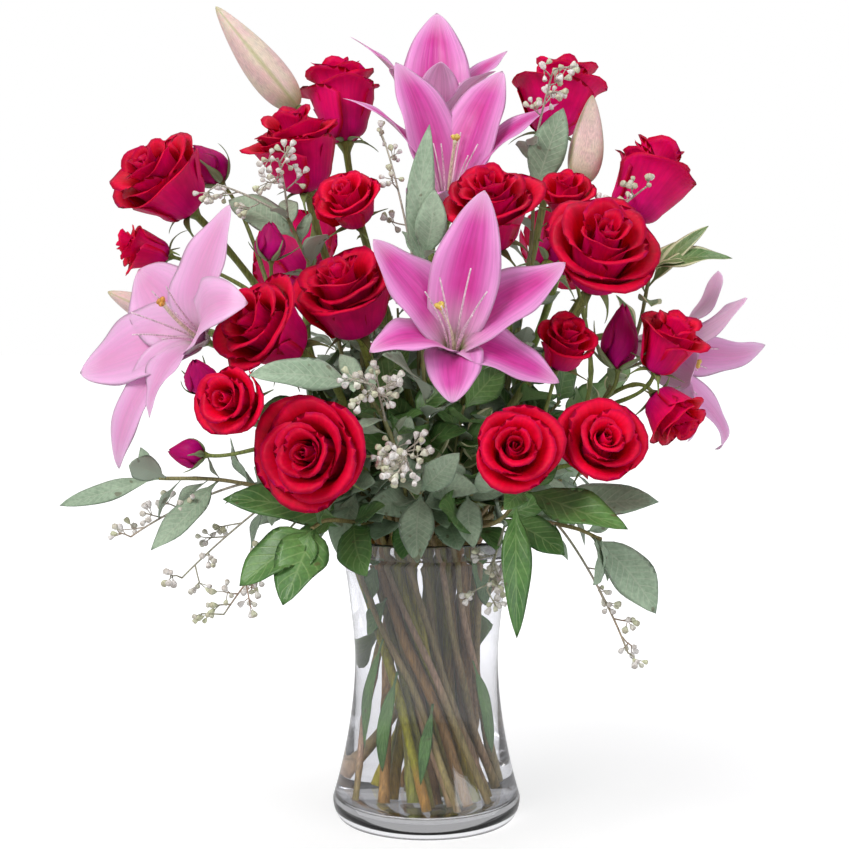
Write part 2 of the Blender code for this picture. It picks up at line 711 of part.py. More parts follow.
def grown_leaf(route, kind, number, count, length):
    """Base, tip, width and face of a leaf that the branch grows: each stands a golden angle round from the
    last."""
    share = FIRST_LEAF + (0.97 - FIRST_LEAF) * number / max(count - 1, 1)
    base, along = at_share(route, share)
    side = unit(np.cross(along, (0.3, 0.2, 1.0)))
    other = np.cross(along, side)
    angle = math.radians(137.5) * number
    out = side * math.cos(angle) + other * math.sin(angle)
    reach = length * (1.0 - 0.25 * (number % 3) / 2)
    tip = base + unit(out * 0.85 + along * 0.55) * reach
    return base, tip, reach * LEAF_WIDTH[kind], unit(along + np.array((0, 0, 0.6)))


def panicle_meshes(start, tip):
    """A hanging or standing twig of seed capsules: a stalk, and clumps of capsules along its outer half."""
    start, tip = np.asarray(start), np.asarray(tip)
    way = unit(tip - start)
    side = unit(np.cross(way, (0.2, 1.0, 0.1)))
    meshes = [rod_mesh((start, (start + tip) / 2 + side * 0.002, tip), SEED_STALK_RADII, sides=4)]
    for share, sign in ((0.55, 1), (0.75, -1), (0.93, 1)):
        root = start + (tip - start) * share
        clump_line = ((0, -0.001), (SEED_CLUMP_RADIUS, 0.006), (0, SEED_CLUMP_LENGTH))
        clump = turned_mesh(clump_line, 5)
        clump.transform(facing_matrix(root, unit(way + side * sign * 0.9)))
        meshes.append(clump)
    return meshes


def branch_route(spot, course):
    """The branch from its cut end, straight through the vase, then along its course; and the part above the
    rim."""
    foot, rim = foot_and_rim(spot, BRANCH_STEM_RADIUS)
    above = through((rim - (rim - foot) * 0.06, rim + (rim - foot) * 0.05, *course), 8)
    return np.vstack((foot, above)), above


def make_branch(name, spot, materials):
    """One branch of greenery: stem, leaves it grows, leaves placed one by one, and seed panicles."""
    kind, course, count, length, left_off, placed, panicles = BRANCHES[name]
    route, above = branch_route(spot, course)
    meshes = [rod_mesh(route, np.linspace(BRANCH_STEM_RADIUS, BRANCH_TIP_RADIUS, len(route)))]
    for number in range(count):
        if number not in left_off:
            base, tip, width, face = grown_leaf(above, kind, number, count, length)
            meshes.append(leaf_mesh(base, tip, width, face, 0.05, 3))
    for share, tip, width in placed:
        base, along = at_share(above, share)
        meshes.append(leaf_mesh(base - along * 0.002, tip, width, (0.05, -0.75, 0.65), 0.04, 4))
    for share, tip in panicles:
        base, along = at_share(above, share)
        meshes.extend(panicle_meshes(base, tip))
    return place(name, fused(meshes), materials[kind])


# ---------------------------------------------------------------- the whole bouquet


def main():
    clear_scene()
    glass = make_material("clear_glass", (0.92, 0.95, 0.97), 0.02, alpha=0.35)
    petal = make_material("rose_red", (0.62, 0.0, 0.03), 0.6)
    spray_petal = make_material("spray_rose_red", (0.66, 0.0, 0.06), 0.6)
    lily_pink = make_material("lily_pink", (0.72, 0.20, 0.52), 0.5)
    stem_green = make_material("rose_stem_green", (0.20, 0.26, 0.06), 0.5)
    lily_green = make_material("lily_stem_green", (0.26, 0.36, 0.10), 0.5)
    greens = {
        "eucalyptus": make_material("eucalyptus_grey_green", (0.28, 0.38, 0.28), 0.7),
        "salal": make_material("salal_green", (0.09, 0.20, 0.05), 0.4),
        "pittosporum": make_material("pittosporum_green", (0.35, 0.45, 0.22), 0.45),
    }
    make_vase(glass)

    spots = iter(places_at_rim())
    for number, rose in enumerate(ROSES, 1):
        make_rose_bloom(f"rose_{number:02d}_bloom", *rose, 4, petal)
        make_rose_stem(f"rose_{number:02d}_stem", next(spots), *neck_of(rose), stem_green)

    for number, (fork, blooms, buds) in enumerate(SPRAYS, 1):
        for letter, bloom in zip("abc", blooms):
            make_rose_bloom(f"spray_rose_{number}_bloom_{letter}", *bloom, 3, spray_petal)
        ends = [(*neck_of(bloom), SPRAY_BLOOM_NECK) for bloom in blooms]
        ends += [(neck, way, SPRAY_BUD_NECK) for neck, way, _, _ in buds]
        meshes = forked_stem(next(spots), fork, ends, SPRAY_STEM_RADIUS, SPRAY_ARM_RADIUS)
        meshes += [bud_mesh(*bud) for bud in buds]
        place(f"spray_rose_{number}_stem", fused(meshes), stem_green)

    for number, lily in enumerate(LILIES, 1):
        make_lily_bloom(f"lily_{number}_bloom", *lily, lily_pink)
    for number, (fork, carried, buds) in enumerate(LILY_STEMS, 1):
        ends = []
        for index in carried:
            base, facing = np.asarray(LILIES[index][0]), unit(LILIES[index][1])
            ends.append((base - facing * (LILY_SKIN / 2 + GAP), facing, LILY_BLOOM_NECK))
        ends += [(neck, way, LILY_BUD_NECK) for neck, way, _, _ in buds]
        meshes = forked_stem(next(spots), fork, ends, LILY_STEM_RADIUS, LILY_ARM_RADIUS)
        meshes += [bud_mesh(*bud) for bud in buds]
        place(f"lily_stem_{number}", fused(meshes), lily_green)

    for name in BRANCHES:
        make_branch(name, next(spots), greens)


main()
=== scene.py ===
"""The looks of a florist's bouquet: red roses, spray roses, pink lilies and mixed greens in a clear glass vase.

Metres, +Z up, -Y the bouquet's front. Sections follow the making: the vase and its water, then each kind of
flower with its stems, then the greens, and last the floor, the lights and the camera.
"""

import math

import bpy
import numpy as np
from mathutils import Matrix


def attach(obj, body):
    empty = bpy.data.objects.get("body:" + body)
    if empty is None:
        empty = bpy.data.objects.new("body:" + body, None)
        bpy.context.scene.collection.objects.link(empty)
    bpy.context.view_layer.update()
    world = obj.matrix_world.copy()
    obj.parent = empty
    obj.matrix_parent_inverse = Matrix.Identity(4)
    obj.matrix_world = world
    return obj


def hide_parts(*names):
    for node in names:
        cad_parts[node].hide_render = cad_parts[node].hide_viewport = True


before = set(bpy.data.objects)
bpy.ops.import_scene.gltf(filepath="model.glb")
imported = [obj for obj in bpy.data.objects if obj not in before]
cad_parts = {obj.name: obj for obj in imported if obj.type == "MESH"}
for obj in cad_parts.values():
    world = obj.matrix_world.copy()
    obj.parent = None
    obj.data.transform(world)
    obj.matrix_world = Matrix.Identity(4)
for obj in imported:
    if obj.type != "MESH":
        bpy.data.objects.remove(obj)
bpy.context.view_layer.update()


# ---------------------------------------------------------------- 1. the vase
# A gathering vase of clear soda glass with a faint grey-lavender cast. It is blown into a mould with a thick
# foot, drawn in to a waist, and flared to a rim that is melted round.

VASE_HEIGHT = 0.203
RIM_RADIUS = 0.0612
WAIST_RADIUS, WAIST_HEIGHT = 0.0508, 0.117
FOOT_RADIUS, FOOT_HEIGHT = 0.0668, 0.015
STANDING_RADIUS = 0.058
WALL = 0.0036
FLOOR_TOP = 0.014
FLOOR_ROUNDING = 0.006


def wall_radius(height):
    """Outer radius of the wall: the waist's, plus a flare that grows as the 1.4th power of the share of the way
    up to the rim, or as the 1.9th power of the share of the way down to the foot."""
    up = np.clip((height - WAIST_HEIGHT) / (VASE_HEIGHT - WAIST_HEIGHT), 0, None)
    down = np.clip((WAIST_HEIGHT - height) / (WAIST_HEIGHT - FOOT_HEIGHT), 0, None)
    return WAIST_RADIUS + (RIM_RADIUS - WAIST_RADIUS) * up**1.4 + (FOOT_RADIUS - WAIST_RADIUS) * down**1.9


def grid_faces(rows, columns, wrap=False):
    """Four-cornered faces of a grid of points kept row by row; with wrap, the last column joins the first."""
    row = np.arange(rows - 1)[:, None] * columns
    column = np.arange(columns if wrap else columns - 1)[None]
    after = (column + 1) % columns
    corners = (row + column, row + after, row + columns + after, row + columns + column)
    return np.stack(corners, axis=-1).reshape(-1, 4)


def ringed_faces(rings, sides):
    """Faces of a closed body kept as a pole, rings of points and a pole: quads between rings, fans at the ends."""
    here = np.arange(sides)
    after = (here + 1) % sides
    last, end = 1 + (rings - 1) * sides, np.full(sides, 1 + rings * sides)
    first_fan = np.stack((np.zeros(sides, int), 1 + after, 1 + here), axis=-1)
    last_fan = np.stack((end, last + here, last + after), axis=-1)
    return [grid_faces(rings, sides, wrap=True) + 1, first_fan, last_fan]


def turned(profile, sides):
    """Profile (radius, height) turned about +Z: each point goes to (radius cos a, radius sin a, height) for evenly
    spaced a. The profile's first and last points lie on the axis and are the poles."""
    profile = np.asarray(profile, float)
    angle = np.linspace(0, math.tau, sides, endpoint=False)
    radius, height = profile[1:-1, 0, None], profile[1:-1, 1, None]
    rings = np.stack((radius * np.cos(angle), radius * np.sin(angle), height + 0 * angle), axis=-1)
    points = np.vstack(((0, 0, profile[0, 1]), rings.reshape(-1, 3), (0, 0, profile[-1, 1])))
    return points, ringed_faces(len(rings), sides), np.zeros((len(points), 3))


def together(shapes):
    """Several shapes as one: points in a row, faces renumbered, and each shape's own number kept as an attribute."""
    starts = np.cumsum([0] + [len(shape[0]) for shape in shapes])
    points = np.vstack([shape[0] for shape in shapes])
    faces = [face + start for shape, start in zip(shapes, starts) for face in shape[1]]
    return points, faces, np.vstack([shape[2] for shape in shapes])


def new_piece(name, shape, material, stands_for=()):
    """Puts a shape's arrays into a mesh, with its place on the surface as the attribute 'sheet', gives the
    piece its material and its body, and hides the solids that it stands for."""
    points, faces, sheet = shape
    mesh = bpy.data.meshes.new(name)
    corners = np.concatenate([face.ravel() for face in faces])
    sizes = np.concatenate([np.full(len(face), face.shape[1]) for face in faces])
    mesh.vertices.add(len(points))
    mesh.vertices.foreach_set("co", points.astype(np.float32).ravel())
    mesh.loops.add(len(corners))
    mesh.loops.foreach_set("vertex_index", corners.astype(np.int32))
    mesh.polygons.add(len(sizes))
    mesh.polygons.foreach_set("loop_start", np.concatenate(((0,), np.cumsum(sizes)[:-1])).astype(np.int32))
    mesh.polygons.foreach_set("use_smooth", np.ones(len(sizes), bool))
    mesh.update(calc_edges=True)
    place = mesh.attributes.new("sheet", "FLOAT_VECTOR", "POINT")
    place.data.foreach_set("vector", sheet.astype(np.float32).ravel())
    mesh.materials.append(material)
    piece = bpy.data.objects.new(name, mesh)
    bpy.context.scene.collection.objects.link(piece)
    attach(piece, "root")
    if stands_for:
        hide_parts(*stands_for)
    return piece


def finish_named(name, colour, roughness, **values):
    """A material with one Principled shader, its plain values set on the shader's own sockets."""
    material = bpy.data.materials.new(name)
    material.use_nodes = True
    shader = material.node_tree.nodes["Principled BSDF"]
    shader.inputs["Base Color"].default_value = (*colour, 1)
    shader.inputs["Roughness"].default_value = roughness
    for socket, value in values.items():
        shader.inputs[socket.replace("_", " ")].default_value = value
    return material, material.node_tree, shader


def add_node(tree, kind, inputs=(), **settings):
    """One node with its settings; inputs pairs a socket's name or number with a value or with a socket to join."""
    node = tree.nodes.new(kind)
    for name, value in settings.items():
        setattr(node, name, value)
    for socket, value in dict(inputs).items():
        if isinstance(value, bpy.types.NodeSocket):
            tree.links.new(value, node.inputs[socket])
        else:
            node.inputs[socket].default_value = value
    return node


def let_light_through(tree, shader, share):
    """Light that falls on the glass goes on through it, less a small share, as the bright rings it would focus
    would light what stands behind it."""
    path = add_node(tree, "ShaderNodeLightPath")
    left = add_node(
        tree,
        "ShaderNodeMath",
        {0: path.outputs["Is Shadow Ray"], 1: -share, 2: 1.0},
        operation="MULTIPLY_ADD",
    )
    tree.links.new(left.outputs[0], shader.inputs["Alpha"])


heel = np.radians(np.linspace(-72, 0, 9))
heel_width = FOOT_RADIUS - STANDING_RADIUS
heights_out = np.linspace(FOOT_HEIGHT, VASE_HEIGHT - WALL / 2, 44)[1:]
lip = np.radians(np.linspace(18, 162, 9))
heights_in = np.linspace(VASE_HEIGHT - WALL / 2, FLOOR_TOP + FLOOR_ROUNDING, 44)
bowl = np.radians(np.linspace(12, 90, 7))
vase_profile = np.vstack(
    (
        ((0, 0.0016), (STANDING_RADIUS * 0.72, 0.0012), (STANDING_RADIUS * 0.86, 0), (STANDING_RADIUS, 0)),
        np.stack((STANDING_RADIUS + heel_width * np.cos(heel), FOOT_HEIGHT * (1 + np.sin(heel))), axis=-1),
        np.stack((wall_radius(heights_out), heights_out), axis=-1),
        np.stack(
            (
                RIM_RADIUS - WALL / 2 + WALL / 2 * np.cos(lip),
                VASE_HEIGHT - WALL / 2 * (1 - np.sin(lip)),
            ),
            axis=-1,
        ),
        np.stack((wall_radius(heights_in) - WALL, heights_in), axis=-1),
        np.stack(
            (
                wall_radius(FLOOR_TOP + FLOOR_ROUNDING) - WALL - FLOOR_ROUNDING * (1 - np.cos(bowl)),
                FLOOR_TOP + FLOOR_ROUNDING * (1 - np.sin(bowl)),
            ),
            axis=-1,
        ),
        ((0.030, FLOOR_TOP), (0.012, FLOOR_TOP + 0.0003), (0, FLOOR_TOP + 0.0004)),
    )
)

glass, tree, shader = finish_named(
    "clear glass", (0.935, 0.935, 0.962), 0.0, Transmission_Weight=1.0, IOR=1.5, Metallic=0.0
)
waves = add_node(
    tree,
    "ShaderNodeTexNoise",
    {"Vector": add_node(tree, "ShaderNodeTexCoord").outputs["Object"], "Scale": 34.0, "Detail": 2.0},
)
uneven = add_node(tree, "ShaderNodeBump", {"Height": waves.outputs["Fac"], "Strength": 0.05, "Distance": 0.002})
tree.links.new(uneven.outputs["Normal"], shader.inputs["Normal"])
let_light_through(tree, shader, 0.93)
new_piece("vase_glass", turned(vase_profile, 112), glass, ["vase"])


# ---------------------------------------------------------------- 2. the water
# Tap water to a finger below the rim. It climbs a little where it meets the glass, and fills the bowl down to
# the vase's rounded floor.

WATER_LEVEL = 0.1915
MENISCUS = 0.0014

water_heights = np.linspace(FLOOR_TOP + FLOOR_ROUNDING, WATER_LEVEL, 40)
climb = np.linspace(0, 1, 6)[1:]
water_profile = np.vstack(
    (
        ((0, FLOOR_TOP + 0.0002), (0.030, FLOOR_TOP - 0.0001)),
        np.stack(
            (
                wall_radius(FLOOR_TOP + FLOOR_ROUNDING) - WALL - FLOOR_ROUNDING * (1 - np.cos(bowl[::-1])),
                FLOOR_TOP + FLOOR_ROUNDING * (1 - np.sin(bowl[::-1])) - 0.0001,
            ),
            axis=-1,
        ),
        np.stack((wall_radius(water_heights) - WALL + 0.0001, water_heights), axis=-1),
        np.stack(
            (
                wall_radius(WATER_LEVEL) - WALL - 0.004 * climb,
                WATER_LEVEL - MENISCUS * (1 - (1 - climb) ** 2),
            ),
            axis=-1,
        ),
        ((0.030, WATER_LEVEL - MENISCUS), (0, WATER_LEVEL - MENISCUS)),
    )
)
water, tree, shader = finish_named(
    "water", (0.985, 0.99, 0.985), 0.0, Transmission_Weight=1.0, IOR=1.333, Metallic=0.0
)
let_light_through(tree, shader, 0.97)
new_piece("water", turned(water_profile, 96), water)


# ---------------------------------------------------------------- 3. rose stems
# Twelve long-stemmed red roses. Their stems are woody, olive to brown with a red flush, swell at each old leaf
# joint and at the hip under the bloom, and cross in the vase as one spiral bound by hand.

# Each rose: the bloom's centre, the way it faces, its radius and height, and how far it has opened (0 to 1).
ROSES = (
    ((-0.053, -0.082, 0.372), (-0.25, -0.55, 0.80), 0.0320, 0.058, 0.35),
    ((-0.103, -0.110, 0.350), (-0.65, -0.60, 0.45), 0.0310, 0.056, 0.40),
    ((-0.069, -0.152, 0.273), (-0.35, -0.90, 0.15), 0.0355, 0.056, 0.75),
    ((0.113, -0.096, 0.402), (0.15, -0.70, 0.65), 0.0365, 0.060, 0.85),
    ((0.042, -0.078, 0.430), (-0.10, -0.60, 0.80), 0.0310, 0.060, 0.55),
    ((-0.181, -0.022, 0.450), (-0.55, -0.45, 0.60), 0.0340, 0.058, 0.60),
    ((-0.089, -0.012, 0.473), (-0.20, -0.25, 0.93), 0.0330, 0.060, 0.40),
    ((-0.062, 0.046, 0.512), (-0.12, 0.15, 0.98), 0.0280, 0.062, 0.25),
    ((0.095, 0.046, 0.515), (0.12, 0.15, 0.97), 0.0330, 0.058, 0.45),
    ((0.152, -0.020, 0.452), (0.45, 0.05, 0.88), 0.0300, 0.062, 0.25),
    ((0.104, 0.118, 0.408), (0.40, 0.75, 0.50), 0.0340, 0.058, 0.55),
    ((-0.098, 0.118, 0.402), (-0.40, 0.75, 0.55), 0.0340, 0.058, 0.60),
)
# How far some stems bend aside, half way up above the rim, to pass their neighbours.
ROSE_BOWS = {7: (0.004, -0.010, 0.0), 9: (0.0, 0.008, 0.0), 10: (0.0, 0.012, 0.0), 11: (-0.010, 0.014, 0.0)}
ROSE_STEM_RADIUS = 0.0031
STEM_SIDES = 14
MOUTH_RADIUS = 0.053
GAP = 0.0004


def unit(vectors):
    vectors = np.asarray(vectors, float)
    return vectors / np.linalg.norm(vectors, axis=-1, keepdims=True)


def hermite(start, start_pull, end, end_pull, shares):
    """Cubic from start to end that leaves along start_pull and arrives along end_pull, at shares of 0 to 1."""
    t = shares[:, None]
    a, b, c, d = 2 * t**3 - 3 * t**2 + 1, t**3 - 2 * t**2 + t, 3 * t**2 - 2 * t**3, t**3 - t**2
    return a * start + b * start_pull + c * end + d * end_pull


def straight_run(node):
    """The cut end and the point level with the rim of a solid's stem: the centres of its lowest ring of points
    and of the next ring above, with the line through both carried on to the rim's height."""
    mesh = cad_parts[node].data
    points = np.empty(3 * len(mesh.vertices), np.float32)
    mesh.vertices.foreach_get("co", points)
    points = np.unique(points.reshape(-1, 3).astype(float).round(6), axis=0)
    inside = points[np.hypot(points[:, 0], points[:, 1]) < MOUTH_RADIUS]
    inside = inside[np.argsort(inside[:, 2])]
    count = int((inside[:, 2] < VASE_HEIGHT / 2).sum())
    foot, above = inside[:count].mean(axis=0), inside[count : 2 * count].mean(axis=0)
    return foot, foot + (above - foot) * (VASE_HEIGHT - foot[2]) / (above[2] - foot[2])


def evenly(route, count):
    """count points at even steps of the length of a line through the route's points."""
    lengths = np.concatenate(((0,), np.cumsum(np.linalg.norm(np.diff(route, axis=0), axis=1))))
    wanted = np.linspace(0, lengths[-1], count)
    return np.stack([np.interp(wanted, lengths, route[:, axis]) for axis in range(3)], axis=-1)


def swept(route, radii, sides=STEM_SIDES, number=0.0):
    """A round profile carried along a route: at each point a ring, radius (cos a, sin a), square to the route's
    direction there, and a pole at each end. The attribute holds metres along, the angle's share and a number."""
    route = np.asarray(route, float)
    radii = np.broadcast_to(np.asarray(radii, float), (len(route),))
    ahead = unit(np.gradient(route, axis=0))
    choices = unit(((1, 0, 0), (0, 1, 0), (0, 0, 1), (1, 1, 0), (1, -1, 0)))
    reference = choices[np.argmin(np.abs(ahead @ choices.T).max(axis=0))]
    side = unit(np.cross(ahead, reference))
    other = np.cross(ahead, side)
    angle = np.linspace(0, math.tau, sides, endpoint=False)
    ring = np.cos(angle)[None, :, None] * side[:, None] + np.sin(angle)[None, :, None] * other[:, None]
    rings = route[:, None] + radii[:, None, None] * ring
    ends = (route[0] - ahead[0] * radii[0] * 0.1, route[-1] + ahead[-1] * radii[-1] * 0.1)
    points = np.vstack((ends[0], rings.reshape(-1, 3), ends[1]))
    length = np.concatenate(((0,), np.cumsum(np.linalg.norm(np.diff(route, axis=0), axis=1))))
    turn = np.abs(np.linspace(-1, 1, sides, endpoint=False))
    sheet = np.stack(np.broadcast_arrays(length[:, None], turn[None], float(number)), axis=-1).reshape(-1, 3)
    sheet = np.vstack((sheet[0], sheet, sheet[-1]))
    return points, ringed_faces(len(rings), sides), sheet


def grown_radii(route, radius, end_radius, joint_every, phase, swell=0.16):
    """A stem's radius along its length: it tapers evenly, swells narrowly at each joint, and wanders a little."""
    length = np.concatenate(((0,), np.cumsum(np.linalg.norm(np.diff(route, axis=0), axis=1))))
    taper = radius + (end_radius - radius) * length / length[-1]
    joint = np.exp(-((((length / joint_every + phase) % 1.0) - 0.5) / 0.06) ** 2)
    wander = 0.04 * np.sin(length * 190 + phase * 40) + 0.03 * np.sin(length * 71 + phase * 9)
    return taper * (1 + swell * joint + wander)


def mixed(tree, share, first, second, blend="MIX"):
    """Colour first going over to second by share; either may be a colour or a socket."""
    colours = [value if isinstance(value, bpy.types.NodeSocket) else (*value, 1) for value in (first, second)]
    inputs = {0: share, 6: colours[0], 7: colours[1]}
    mix = add_node(tree, "ShaderNodeMix", inputs, data_type="RGBA", blend_type=blend)
    return mix.outputs[2]


def spread_out(tree, value, low, high, to_low=0.0, to_high=1.0, even=True):
    """Carries a value from one range to another, in an even S or a straight line."""
    ranged = add_node(
        tree,
        "ShaderNodeMapRange",
        {"Value": value, 1: low, 2: high, 3: to_low, 4: to_high},
        interpolation_type="SMOOTHSTEP" if even else "LINEAR",
    )
    return ranged.outputs["Result"]


BROWN_BELOW, GREEN_ABOVE = 0.20, 0.27


def bark(name, young, old, flush, roughness, fresh=None):
    """A stem's finish: two colours mixed by slow noise, a flush of a third one in patches, and fine streaks
    drawn out along the length, which also raise its surface. Above the rim a fresh colour takes over."""
    material, tree, shader = finish_named(name, young, roughness, Subsurface_Weight=0.0)
    place = add_node(tree, "ShaderNodeAttribute", attribute_name="sheet")
    number = add_node(tree, "ShaderNodeSeparateXYZ", {0: place.outputs["Vector"]}).outputs["Z"]
    here = add_node(tree, "ShaderNodeTexCoord").outputs["Object"]

    def noise(stretch, **inputs):
        drawn = add_node(tree, "ShaderNodeMapping", {"Vector": here, "Scale": (1.0, 1.0, stretch)})
        kind = "4D" if "W" in inputs else "3D"
        inputs["Vector"] = drawn.outputs["Vector"]
        return add_node(tree, "ShaderNodeTexNoise", inputs, noise_dimensions=kind).outputs["Fac"]

    slow = noise(0.35, W=number, Scale=42.0, Detail=3.0)
    streaks = noise(0.08, Scale=900.0, Detail=2.0)
    patch = noise(1.0, W=number, Scale=16.0, Detail=1.0)
    height = add_node(tree, "ShaderNodeSeparateXYZ", {0: here}).outputs["Z"]
    skin = mixed(tree, spread_out(tree, slow, 0.38, 0.62, even=False), young, old)
    skin = mixed(tree, spread_out(tree, patch, 0.5, 0.68, 0.0, 0.85, even=False), skin, flush)
    above = spread_out(tree, height, BROWN_BELOW, GREEN_ABOVE, 0.0, 0.8, even=False)
    skin = mixed(tree, above, skin, fresh or young)
    skin = mixed(tree, 1.0, skin, spread_out(tree, streaks, 0.3, 0.7, 0.55, 1.15, even=False), "MULTIPLY")
    tree.links.new(skin, shader.inputs["Base Color"])
    bump = add_node(tree, "ShaderNodeBump", {"Height": streaks, "Strength": 0.35, "Distance": 0.0004})
    tree.links.new(bump.outputs["Normal"], shader.inputs["Normal"])
    return material


def swayed(foot, rim, rows, seed):
    """The run in the vase, straight at both ends and bowed a millimetre or two between, by two slow waves whose
    sizes a seed chooses and which fade out toward the ends. The last row is left off."""
    dice = np.random.default_rng(int(seed))
    share = np.linspace(0, 1, rows)[:-1, None]
    side = unit(np.cross(rim - foot, dice.normal(size=3)))
    wave = np.sin(share * math.tau * dice.uniform(0.6, 1.0)) * 0.0024
    wave = wave + np.sin(share * math.tau * dice.uniform(1.6, 2.3) + dice.uniform(0, 6)) * 0.0010
    return foot + (rim - foot) * share + side * wave * np.sin(math.pi * share) ** 0.7


def rose_line(node, centre, facing, height, bow):
    """Cut end, straight run through the vase, then one cubic that meets the hip along the flower's facing."""
    foot, rim = straight_run(node)
    facing = unit(facing)
    neck = np.asarray(centre) - facing * (height / 2 + GAP)
    chord = np.linalg.norm(neck - rim)
    shares = np.linspace(0, 1, 40)
    above = hermite(rim, unit(rim - foot) * chord * 1.1, neck - facing * 0.008, facing * chord * 0.9, shares)
    above += np.outer(np.sin(math.pi * shares) ** 2, bow)
    below = swayed(foot, rim, 24, height * 900)
    hip = neck - facing * np.linspace(0.006, 0, 5)[:, None]
    return np.vstack((below, above, hip)), neck, facing


def thorns(route, radii, count, seed):
    """Short hooked prickles: small swept cones that leave the stem sideways and point a little down."""
    dice = np.random.default_rng(seed)
    rows = dice.integers(26, len(route) - 14, count)
    shapes = []
    for row in rows:
        ahead = unit(route[row + 1] - route[row])
        out = unit(np.cross(ahead, dice.normal(size=3)))
        start = route[row] + out * radii[row] * 0.8
        bend = start + out * 0.0022 - ahead * 0.0004
        tip = start + out * 0.0042 - ahead * 0.0018
        shapes.append(swept((start, bend, tip), (0.0013, 0.0008, 0.0001), 6))
    return shapes


FRESH_GREEN = (0.19, 0.28, 0.06)
rose_bark = bark("rose stem", (0.40, 0.38, 0.02), (0.26, 0.24, 0.01), (0.42, 0.19, 0.04), 0.45, FRESH_GREEN)
old_bark = bark("woody rose stem", (0.44, 0.24, 0.07), (0.24, 0.13, 0.04), (0.62, 0.38, 0.22), 0.55, FRESH_GREEN)
pale_bark = bark("pale rose stem", (0.62, 0.52, 0.06), (0.48, 0.42, 0.03), (0.60, 0.40, 0.14), 0.45, FRESH_GREEN)
ROSE_BARKS = {1: pale_bark, 2: old_bark, 4: old_bark, 7: old_bark, 9: old_bark, 11: pale_bark, 12: old_bark}
rose_necks = []
for number, (centre, facing, radius, height, openness) in enumerate(ROSES, 1):
    node = f"rose_{number:02d}_stem"
    route, neck, facing = rose_line(node, centre, facing, height, ROSE_BOWS.get(number, (0, 0, 0)))
    wood = number in (2, 4, 7, 9, 12)
    radii = grown_radii(route, ROSE_STEM_RADIUS * (1.12 if wood else 1.0), 0.0025, 0.062, number * 0.37)
    radii[-6:] = np.interp(np.arange(6), (0, 2, 4, 5), (0.0027, 0.0042, 0.0060, 0.0062))
    shapes = [swept(route, radii, number=number)] + thorns(route, radii, 5, number)
    new_piece(f"rose_stem_{number:02d}", together(shapes), ROSE_BARKS.get(number, rose_bark), [node])
    rose_necks.append((neck, facing))


# ---------------------------------------------------------------- 4. rose blooms
# Each bloom is one cut flower head: velvety crimson petals set in a spiral round a tight heart, backed in
# magenta, their margins rolled outward, over five thin green sepals that curl back from the hip.


def closed_sheets(middle, thickness, order=None):
    """Thin bodies from their middle surfaces, an array (sheet, along, across, xyz). Each gets a front and a back
    skin, half the thickness off along the surface's normal, which is the along slope crossed with the across
    slope; the two skins share the points of the margin, so the sheet is closed. The attribute holds the share
    along, the share across from -1 to 1, and the sheet's order plus 10 on the back."""
    count, rows, columns = middle.shape[:3]
    normal = np.cross(np.gradient(middle, axis=1), np.gradient(middle, axis=2))
    normal /= np.linalg.norm(normal, axis=-1, keepdims=True) + 1e-12
    i, j = np.meshgrid(np.arange(rows), np.arange(columns), indexing="ij")
    inset = np.minimum.reduce((i, rows - 1 - i, j, columns - 1 - j))
    half = np.broadcast_to(np.asarray(thickness, float) / 2, (count,))[:, None, None, None]
    half = half * np.sqrt(np.clip(inset / 2, 0, 1))[None, :, :, None]
    front, back = middle + normal * half, middle - normal * half
    border = inset == 0
    front_number = (i * columns + j).astype(int)
    back_number = front_number.copy()
    back_number[~border] = rows * columns + np.arange((~border).sum())
    each = rows * columns + int((~border).sum())
    points = np.concatenate((front.reshape(count, -1, 3), back[:, ~border]), axis=1).reshape(-1, 3)
    grid = grid_faces(rows, columns)
    faces = np.vstack((front_number.ravel()[grid][:, ::-1], back_number.ravel()[grid]))
    faces = (faces[None] + each * np.arange(count)[:, None, None]).reshape(-1, 4)
    share, side = i / (rows - 1), 2 * j / (columns - 1) - 1
    order = np.linspace(0, 1, count) if order is None else np.asarray(order, float)
    flat = np.stack((share, side, np.zeros_like(share)), axis=-1)
    sheet = np.concatenate((flat.reshape(-1, 3), flat[~border] + (0, 0, 10)), axis=0)
    sheet = np.broadcast_to(sheet, (count, each, 3)).copy()
    sheet[..., 2] += order[:, None]
    return points, [faces], sheet.reshape(-1, 3)


def smooth(x):
    """0 below 0, 1 above 1, and an even S between."""
    x = np.clip(x, 0, 1)
    return x * x * (3 - 2 * x)


def standing(points, origin, facing, turn=0.0):
    """Turns points made about +Z by turn, then stands them at origin with +Z along facing and +X kept upright."""
    z = unit(facing)
    x = unit(np.array((0, 0, 1.0)) - z[2] * z) if abs(z[2]) < 0.999 else np.array((1.0, 0, 0))
    y = np.cross(z, x)
    c, s = math.cos(turn), math.sin(turn)
    turned_x = points[..., 0] * c - points[..., 1] * s
    turned_y = points[..., 0] * s + points[..., 1] * c
    return np.asarray(origin) + turned_x[..., None] * x + turned_y[..., None] * y + points[..., 2, None] * z


